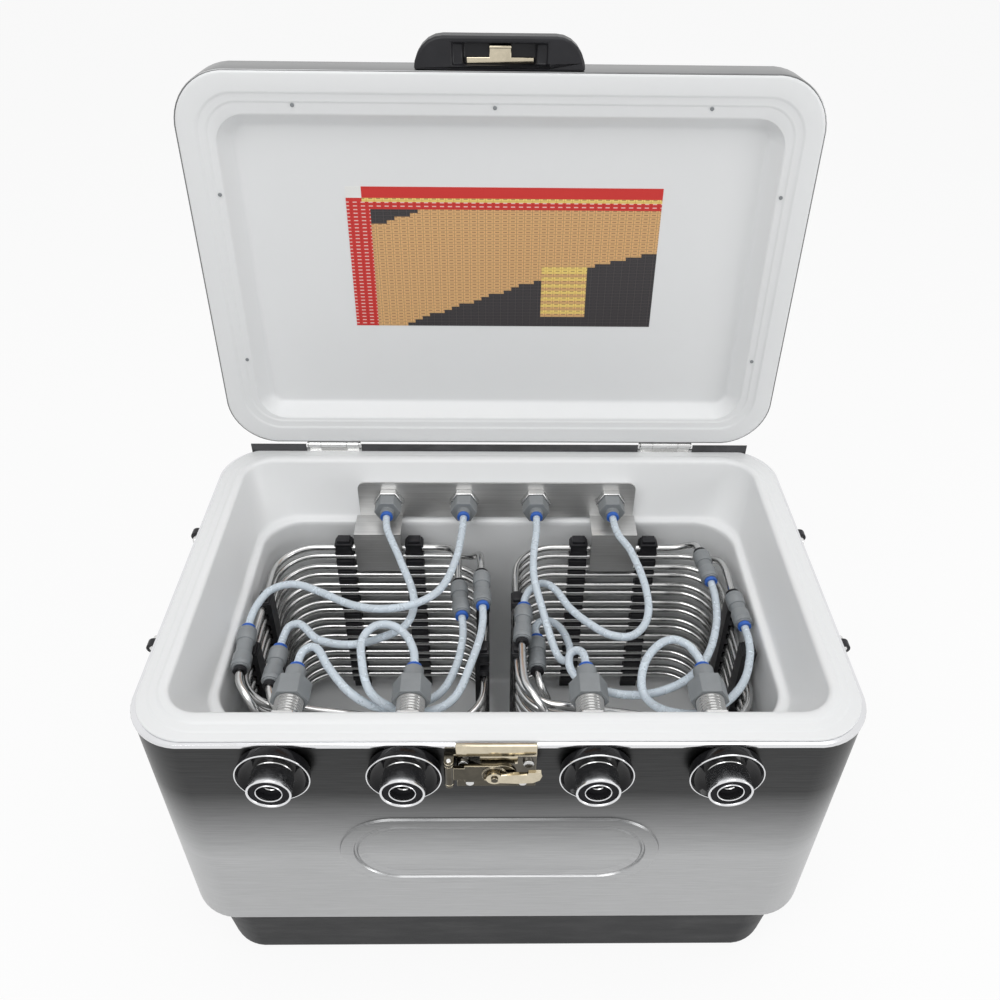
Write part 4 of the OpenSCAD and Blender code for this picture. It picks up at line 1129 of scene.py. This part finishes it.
class COOLER_OT_unions(bpy.types.Operator):
    """Grey unions, their dark rings and the blue release rings"""

    bl_idname = "cooler.unions"
    bl_label = "Unions"

    def execute(self, context):
        left, right, dark, blue = (bmesh.new() for _ in range(4))
        for key, (p, q) in UNIONS.items():
            p, q = Vector(p), Vector(q)
            size = (q - p).length
            way = (q - p).normalized()
            mirrored = [(r, size - run) for r, run in reversed(HALF_UNION)]
            lathe(left if key in "abcd" else right, HALF_UNION + mirrored, p, way, steps=32)
            self.collar(dark, q, -way)
            self.collar(blue, p, way)
        for x in OUTLET_X:
            self.collar(blue, (x, OUTLET_TIP, OUTLET_Z), (0, -1, 0), 4.9)
        for x in INLET_X:
            self.collar(blue, (x, INLET_TIP, INLET_Z), (0, 1, 0))
        piece("left_unions", left, ["grey_plastic"], "cooler", "grey_plastic", ["left_coil_unions"])
        piece("right_unions", right, ["grey_plastic"], "cooler", "grey_plastic",
              ["right_coil_unions"])
        piece("dark_rings", dark, ["black_plastic"], "cooler", "black_plastic",
              ["steel_side_collets"])
        piece("blue_rings", blue, ["blue_plastic"], "cooler", "blue_plastic", ["release_collets"])
        return {"FINISHED"}

    @staticmethod
    def collar(bm, at, way, size=3.9):
        """A ring round a hose or tube, with a lip at its free end."""
        lathe(bm, [(4.3, 0.0), (6.3, 0.0), (7.0, 0.5), (7.0, 1.6), (6.4, 2.0), (6.4, size),
                   (4.3, size)], at, way, steps=28)


class COOLER_OT_hoses(bpy.types.Operator):
    """Eight clear hoses, each from a fitting to a union"""

    bl_idname = "cooler.hoses"
    bl_label = "Hoses"

    def execute(self, context):
        radius = context.scene.cooler_sizes.hose_d / 2
        for node, (union, route) in HOSES.items():
            i = int(node[-1]) - 1
            if node.startswith("inlet"):
                x, z, within, out = INLET_X[i], INLET_Z, INLET_TIP + 10, INLET_TIP - 2
            else:
                x, z, within, out = OUTLET_X[i], OUTLET_Z, OUTLET_TIP - 10, OUTLET_TIP + 3
            points = [Vector(p) for p in [(x, within, z), (x, out, z), *route, UNIONS[union][0]]]
            points.append(into(union, 0, 10))
            obj = tube(node + "_line", points, radius, "clear_hose", "cooler", "clear_hose", node,
                       rounds=4)
            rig.cord(obj, exit=[c * MM for c in points[0]], length=self.measure(obj),
                    diameter=2 * radius * MM, far_end="object", stiffness="stiff", lay="loose")
        return {"FINISHED"}

    @staticmethod
    def measure(obj):
        """The length of the curve's own line, in metres."""
        total = 0.0
        spots = obj.data.splines[0].bezier_points
        for a, b in zip(spots, spots[1:]):
            last = a.co
            for k in range(1, 17):
                t = k / 16
                s = 1 - t
                here = (s ** 3 * a.co + 3 * s * s * t * a.handle_right
                        + 3 * s * t * t * b.handle_left + t ** 3 * b.co)
                total += (here - last).length
                last = here
        return total


# the packs, and how far right of the first each stands; the combs on the back run, as x in the
# first pack and how much further left the photograph has them than the CAD
PACKS = {"left": 0.0, "right": 271.5}
COMBS = ((-162.0, -18.0), (-91.0, -8.0))
MOVES = {
    "coil_clips_" + side: [(x + far, step) for x, step in COMBS] for side, far in PACKS.items()
}


class COOLER_OT_clip_caps(bpy.types.Operator):
    """Black caps on the combs that hold the coils"""

    bl_idname = "cooler.clip_caps"
    bl_label = "Clip caps"

    def execute(self, context):
        for side, shift in PACKS.items():
            bm = bmesh.new()
            for x, step in COMBS:
                self.cap(bm, (x + step + shift, 121.0), 19, 15)
            for y in (-40, 30):
                self.cap(bm, (-253.0 + shift, y), 13, 17)
                self.cap(bm, (-17.0 + shift, y), 13, 17)
            piece("%s_clip_caps" % side, bm, ["black_plastic"], "cooler", "black_plastic")
        return {"FINISHED"}

    @staticmethod
    def cap(bm, at, wide, deep):
        """Two blocks, the upper one 2 mm smaller all round."""
        x, y = at
        for inset, low, high, soft in ((0, 306.5, 320.0, 1.2), (2, 319.6, 324.0, 1.0)):
            w = wide / 2 - inset
            d = deep / 2 - inset
            block(bm, (x - w, y - d, low), (x + w, y + d, high), soft=soft)


# small parts that stand as merged copies: finish and body, then each node's rounding
SMALL = {
    ("black_plastic", "cooler"): {
        "drain_spout": 0.6, "drain_nut": 0.7, "handle_brackets": 0.7, "inlet_bulkheads": 1.0,
        "coil_clips_left": 0.5, "coil_clips_right": 0.5,
    },
    ("black_plastic", "drain_plug"): {"drain_cap": 0.8},
    # hinge rail painted near-black as shade
    ("dark_strip", "cooler"): {"hinge_rail": 0.3},
    ("steel_parts", "cooler"): {
        "hinge_body_leaves": 0.3, "hinge_pins": 0.4, "latch_pin": 0.4, "body_screws": 0.5,
        "shank_nuts": 0.8, "inlet_nuts": 0.8,
    },
    ("steel_parts", "lid"): {"hinge_lid_leaves": 0.3},
    # latch base and hasp: nickel painted dark as a reflection
    ("dark_nickel", "cooler"): {"latch_base": 0.7},
    ("dark_nickel", "hasp"): {"latch_hasp": 0.7},
    ("warm_nickel", "lever"): {"latch_lever": 0.8},
    ("grey_plastic", "cooler"): {"shank_fittings": 1.0, "inlet_fittings": 1.0},
    ("rubber_seal", "cooler"): {"inlet_seals": 0.5},
    ("foam", "lid"): {"lid_foam": 9.0},
    ("black_plastic", "lid"): {"lid_handle": 2.2},
    ("warm_nickel", "lid"): {"lid_strike": 0.6},
    ("steel_parts", "left_handle"): {"left_bail": 0.2},
    ("steel_parts", "right_handle"): {"right_bail": 0.2},
    ("black_plastic", "left_handle"): {"left_grip": 1.2},
    ("black_plastic", "right_handle"): {"right_grip": 1.2},
}
# finishes that go under another slot
SLOTS = {"dark_strip": "steel_skin", "dark_nickel": "warm_nickel"}


class COOLER_OT_small_parts(bpy.types.Operator):
    """Hinges, latch, handles, nuts, fittings and clips with rounded edges"""

    bl_idname = "cooler.small_parts"
    bl_label = "Small parts"

    def execute(self, context):
        # the roundings in the table are for the usual 0.6
        k = context.scene.cooler_sizes.edge_round / 0.6
        for (key, body), widths in SMALL.items():
            # plates painted dark as a reflection keep their rounded edges in the plain nickel
            edge = "warm_nickel" if key == "dark_nickel" else None
            for node, width in widths.items():
                soften(node, width * k, key, SLOTS.get(key, key), body, edge=edge,
                       moves=MOVES.get(node, ()))
        # latch: the tongue that folds over the rim, and the heads of its two screws
        bm = bmesh.new()
        block(bm, (-17.5, FRONT - 5.4, 370.0), (14.5, FRONT - 2.8, 381.5), soft=0.9)
        block(bm, (-37.2, FRONT - 5.4, 380.6), (30.2, FRONT - 1.8, 394.8), soft=0.7)
        piece("latch_tongue", bm, ["warm_nickel"], "cooler", "warm_nickel")
        bm = bmesh.new()
        for x in (-31.0, 23.5):
            lathe(bm, [(0.0, 3.6), (2.6, 3.9), (4.2, 4.6), (4.6, 4.2), (4.6, 2.9), (0.0, 2.9)],
                  (x, FRONT, 368.5), (0, -1, 0), steps=28, closed=False)
        bmesh.ops.remove_doubles(bm, verts=bm.verts, dist=WELD)
        piece("latch_screws", bm, ["steel_parts"], "cooler", "steel_parts")
        # the body's foam stays as the frame has it, inside the walls
        for spot in frame["nodes"]["body_foam"].material_slots:
            spot.material = finish_of("foam")
        return {"FINISHED"}


class COOLER_OT_stage(bpy.types.Operator):
    """Camera at the photograph's angle, pale floor and soft studio light"""

    bl_idname = "cooler.stage"
    bl_label = "Stage"

    def execute(self, context):
        scene = context.scene
        scene.view_settings.view_transform = "Standard"
        self.camera(scene)
        self.floor(scene)
        self.world(scene)
        self.lamp(scene, "key", (-0.9, -1.3, 2.3), (0, 0, 0.3), 1.6, 22)
        self.lamp(scene, "top", (0.3, 0.1, 2.6), (0, 0, 0.3), 1.8, 17)
        self.lamp(scene, "right", (2.2, -0.9, 0.9), (0.1, 0, 0.25), 1.0, 12)
        return {"FINISHED"}

    @staticmethod
    def camera(scene):
        """The photograph's camera as it was solved: angles in radians, place in metres."""
        yaw, pitch, roll = -0.0193, 0.6546, 0.0151
        place = Vector((-0.00487, -0.65583, 1.02518))
        level_run = math.cos(pitch)
        ahead = Vector((-math.sin(yaw) * level_run, math.cos(yaw) * level_run, -math.sin(pitch)))
        level = Vector((math.cos(yaw), math.sin(yaw), 0))
        up = level.cross(ahead)
        right = level * math.cos(roll) + up * math.sin(roll)
        up = up * math.cos(roll) - level * math.sin(roll)
        data = bpy.data.cameras.new("camera")
        data.sensor_width = 36.0
        data.lens = 0.90293 * data.sensor_width
        data.shift_x = -0.00958
        data.shift_y = -0.03371
        data.clip_start = 0.05
        cam = bpy.data.objects.new("camera", data)
        cam.matrix_world = Matrix((
            (right.x, up.x, -ahead.x, place.x),
            (right.y, up.y, -ahead.y, place.y),
            (right.z, up.z, -ahead.z, place.z),
            (0, 0, 0, 1)))
        scene.collection.objects.link(cam)
        scene.camera = cam

    @staticmethod
    def floor(scene):
        bm = bmesh.new()
        bmesh.ops.create_grid(bm, x_segments=1, y_segments=1, size=40)
        mesh = bpy.data.meshes.new("floor")
        bm.to_mesh(mesh)
        bm.free()
        obj = bpy.data.objects.new("floor", mesh)
        scene.collection.objects.link(obj)
        f = Finish("floor_paint", Base_Color=(0.88, 0.88, 0.88), Roughness=0.75)
        # mostly white where it is seen; the rest of the paint takes the shadows
        painted = Sock(f.tree, f.shader.outputs[0])
        white = f.node("ShaderNodeEmission", Strength=1.0)
        mixed = f.node("ShaderNodeMixShader", in0=f.seen() * 0.90, in1=painted, in2=white)
        out = f.tree.nodes["Material Output"]
        f.tree.links.new(mixed.out, out.inputs["Surface"])
        mesh.materials.append(f.mat)
        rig.stage(obj)

    @staticmethod
    def world(scene):
        world = bpy.data.worlds.new("studio")
        scene.world = world
        world.use_nodes = True
        # white where it is seen, and a softer light on the object
        light = 0.42
        sky = Nodes(world.node_tree)
        back = sky.tree.nodes["Background"]
        back.inputs["Color"].default_value = (1, 1, 1, 1)
        plug(sky.tree, back.inputs["Strength"], sky.seen() * (1 - light) + light)

    @staticmethod
    def lamp(scene, name, at, to, size, power):
        """A square lamp: place, target and size in metres, power in watts."""
        data = bpy.data.lights.new(name, "AREA")
        data.shape = "SQUARE"
        data.size = size
        data.energy = power
        obj = bpy.data.objects.new(name, data)
        obj.location = at
        obj.rotation_euler = (Vector(to) - Vector(at)).to_track_quat("-Z", "Y").to_euler()
        scene.collection.objects.link(obj)


class COOLER_PT_panel(bpy.types.Panel):
    """Lists the cooler's pieces, sizes and colours"""

    bl_idname = "COOLER_PT_panel"
    bl_label = "Cooler"
    bl_space_type = "VIEW_3D"
    bl_region_type = "UI"
    bl_category = "Cooler"

    def draw(self, context):
        for group in (context.scene.cooler_sizes, context.scene.cooler_tones):
            box = self.layout.box()
            for key in group.__annotations__:
                box.prop(group, key)
        for op in OPERATORS:
            self.layout.operator(op.bl_idname)


OPERATORS = (
    COOLER_OT_stage,
    COOLER_OT_hoses,
    COOLER_OT_body,
    COOLER_OT_tub,
    COOLER_OT_lid,
    COOLER_OT_chart,
    COOLER_OT_outlets,
    COOLER_OT_bracket,
    COOLER_OT_coils,
    COOLER_OT_unions,
    COOLER_OT_clip_caps,
    COOLER_OT_small_parts,
)
CLASSES = (CoolerSizes, CoolerTones, *OPERATORS, COOLER_PT_panel)


def register():
    for cls in CLASSES:
        bpy.utils.register_class(cls)
    bpy.types.Scene.cooler_sizes = PointerProperty(type=CoolerSizes)
    bpy.types.Scene.cooler_tones = PointerProperty(type=CoolerTones)


def unregister():
    del bpy.types.Scene.cooler_tones
    del bpy.types.Scene.cooler_sizes
    for cls in reversed(CLASSES):
        bpy.utils.unregister_class(cls)


def main():
    register()
    bpy.ops.cooler.stage()
    bpy.ops.cooler.hoses()
    bpy.ops.cooler.body()
    bpy.ops.cooler.tub()
    bpy.ops.cooler.lid()
    bpy.ops.cooler.chart()
    bpy.ops.cooler.outlets()
    bpy.ops.cooler.bracket()
    bpy.ops.cooler.coils()
    bpy.ops.cooler.unions()
    bpy.ops.cooler.clip_caps()
    bpy.ops.cooler.small_parts()
    boxes = {"cad": [list(p) for p in CAD_BOX], "visual": [list(p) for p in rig.bounds()]}
    with open("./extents.json", "w") as out:
        json.dump(boxes, out)


if __name__ == "__main__":
    main()
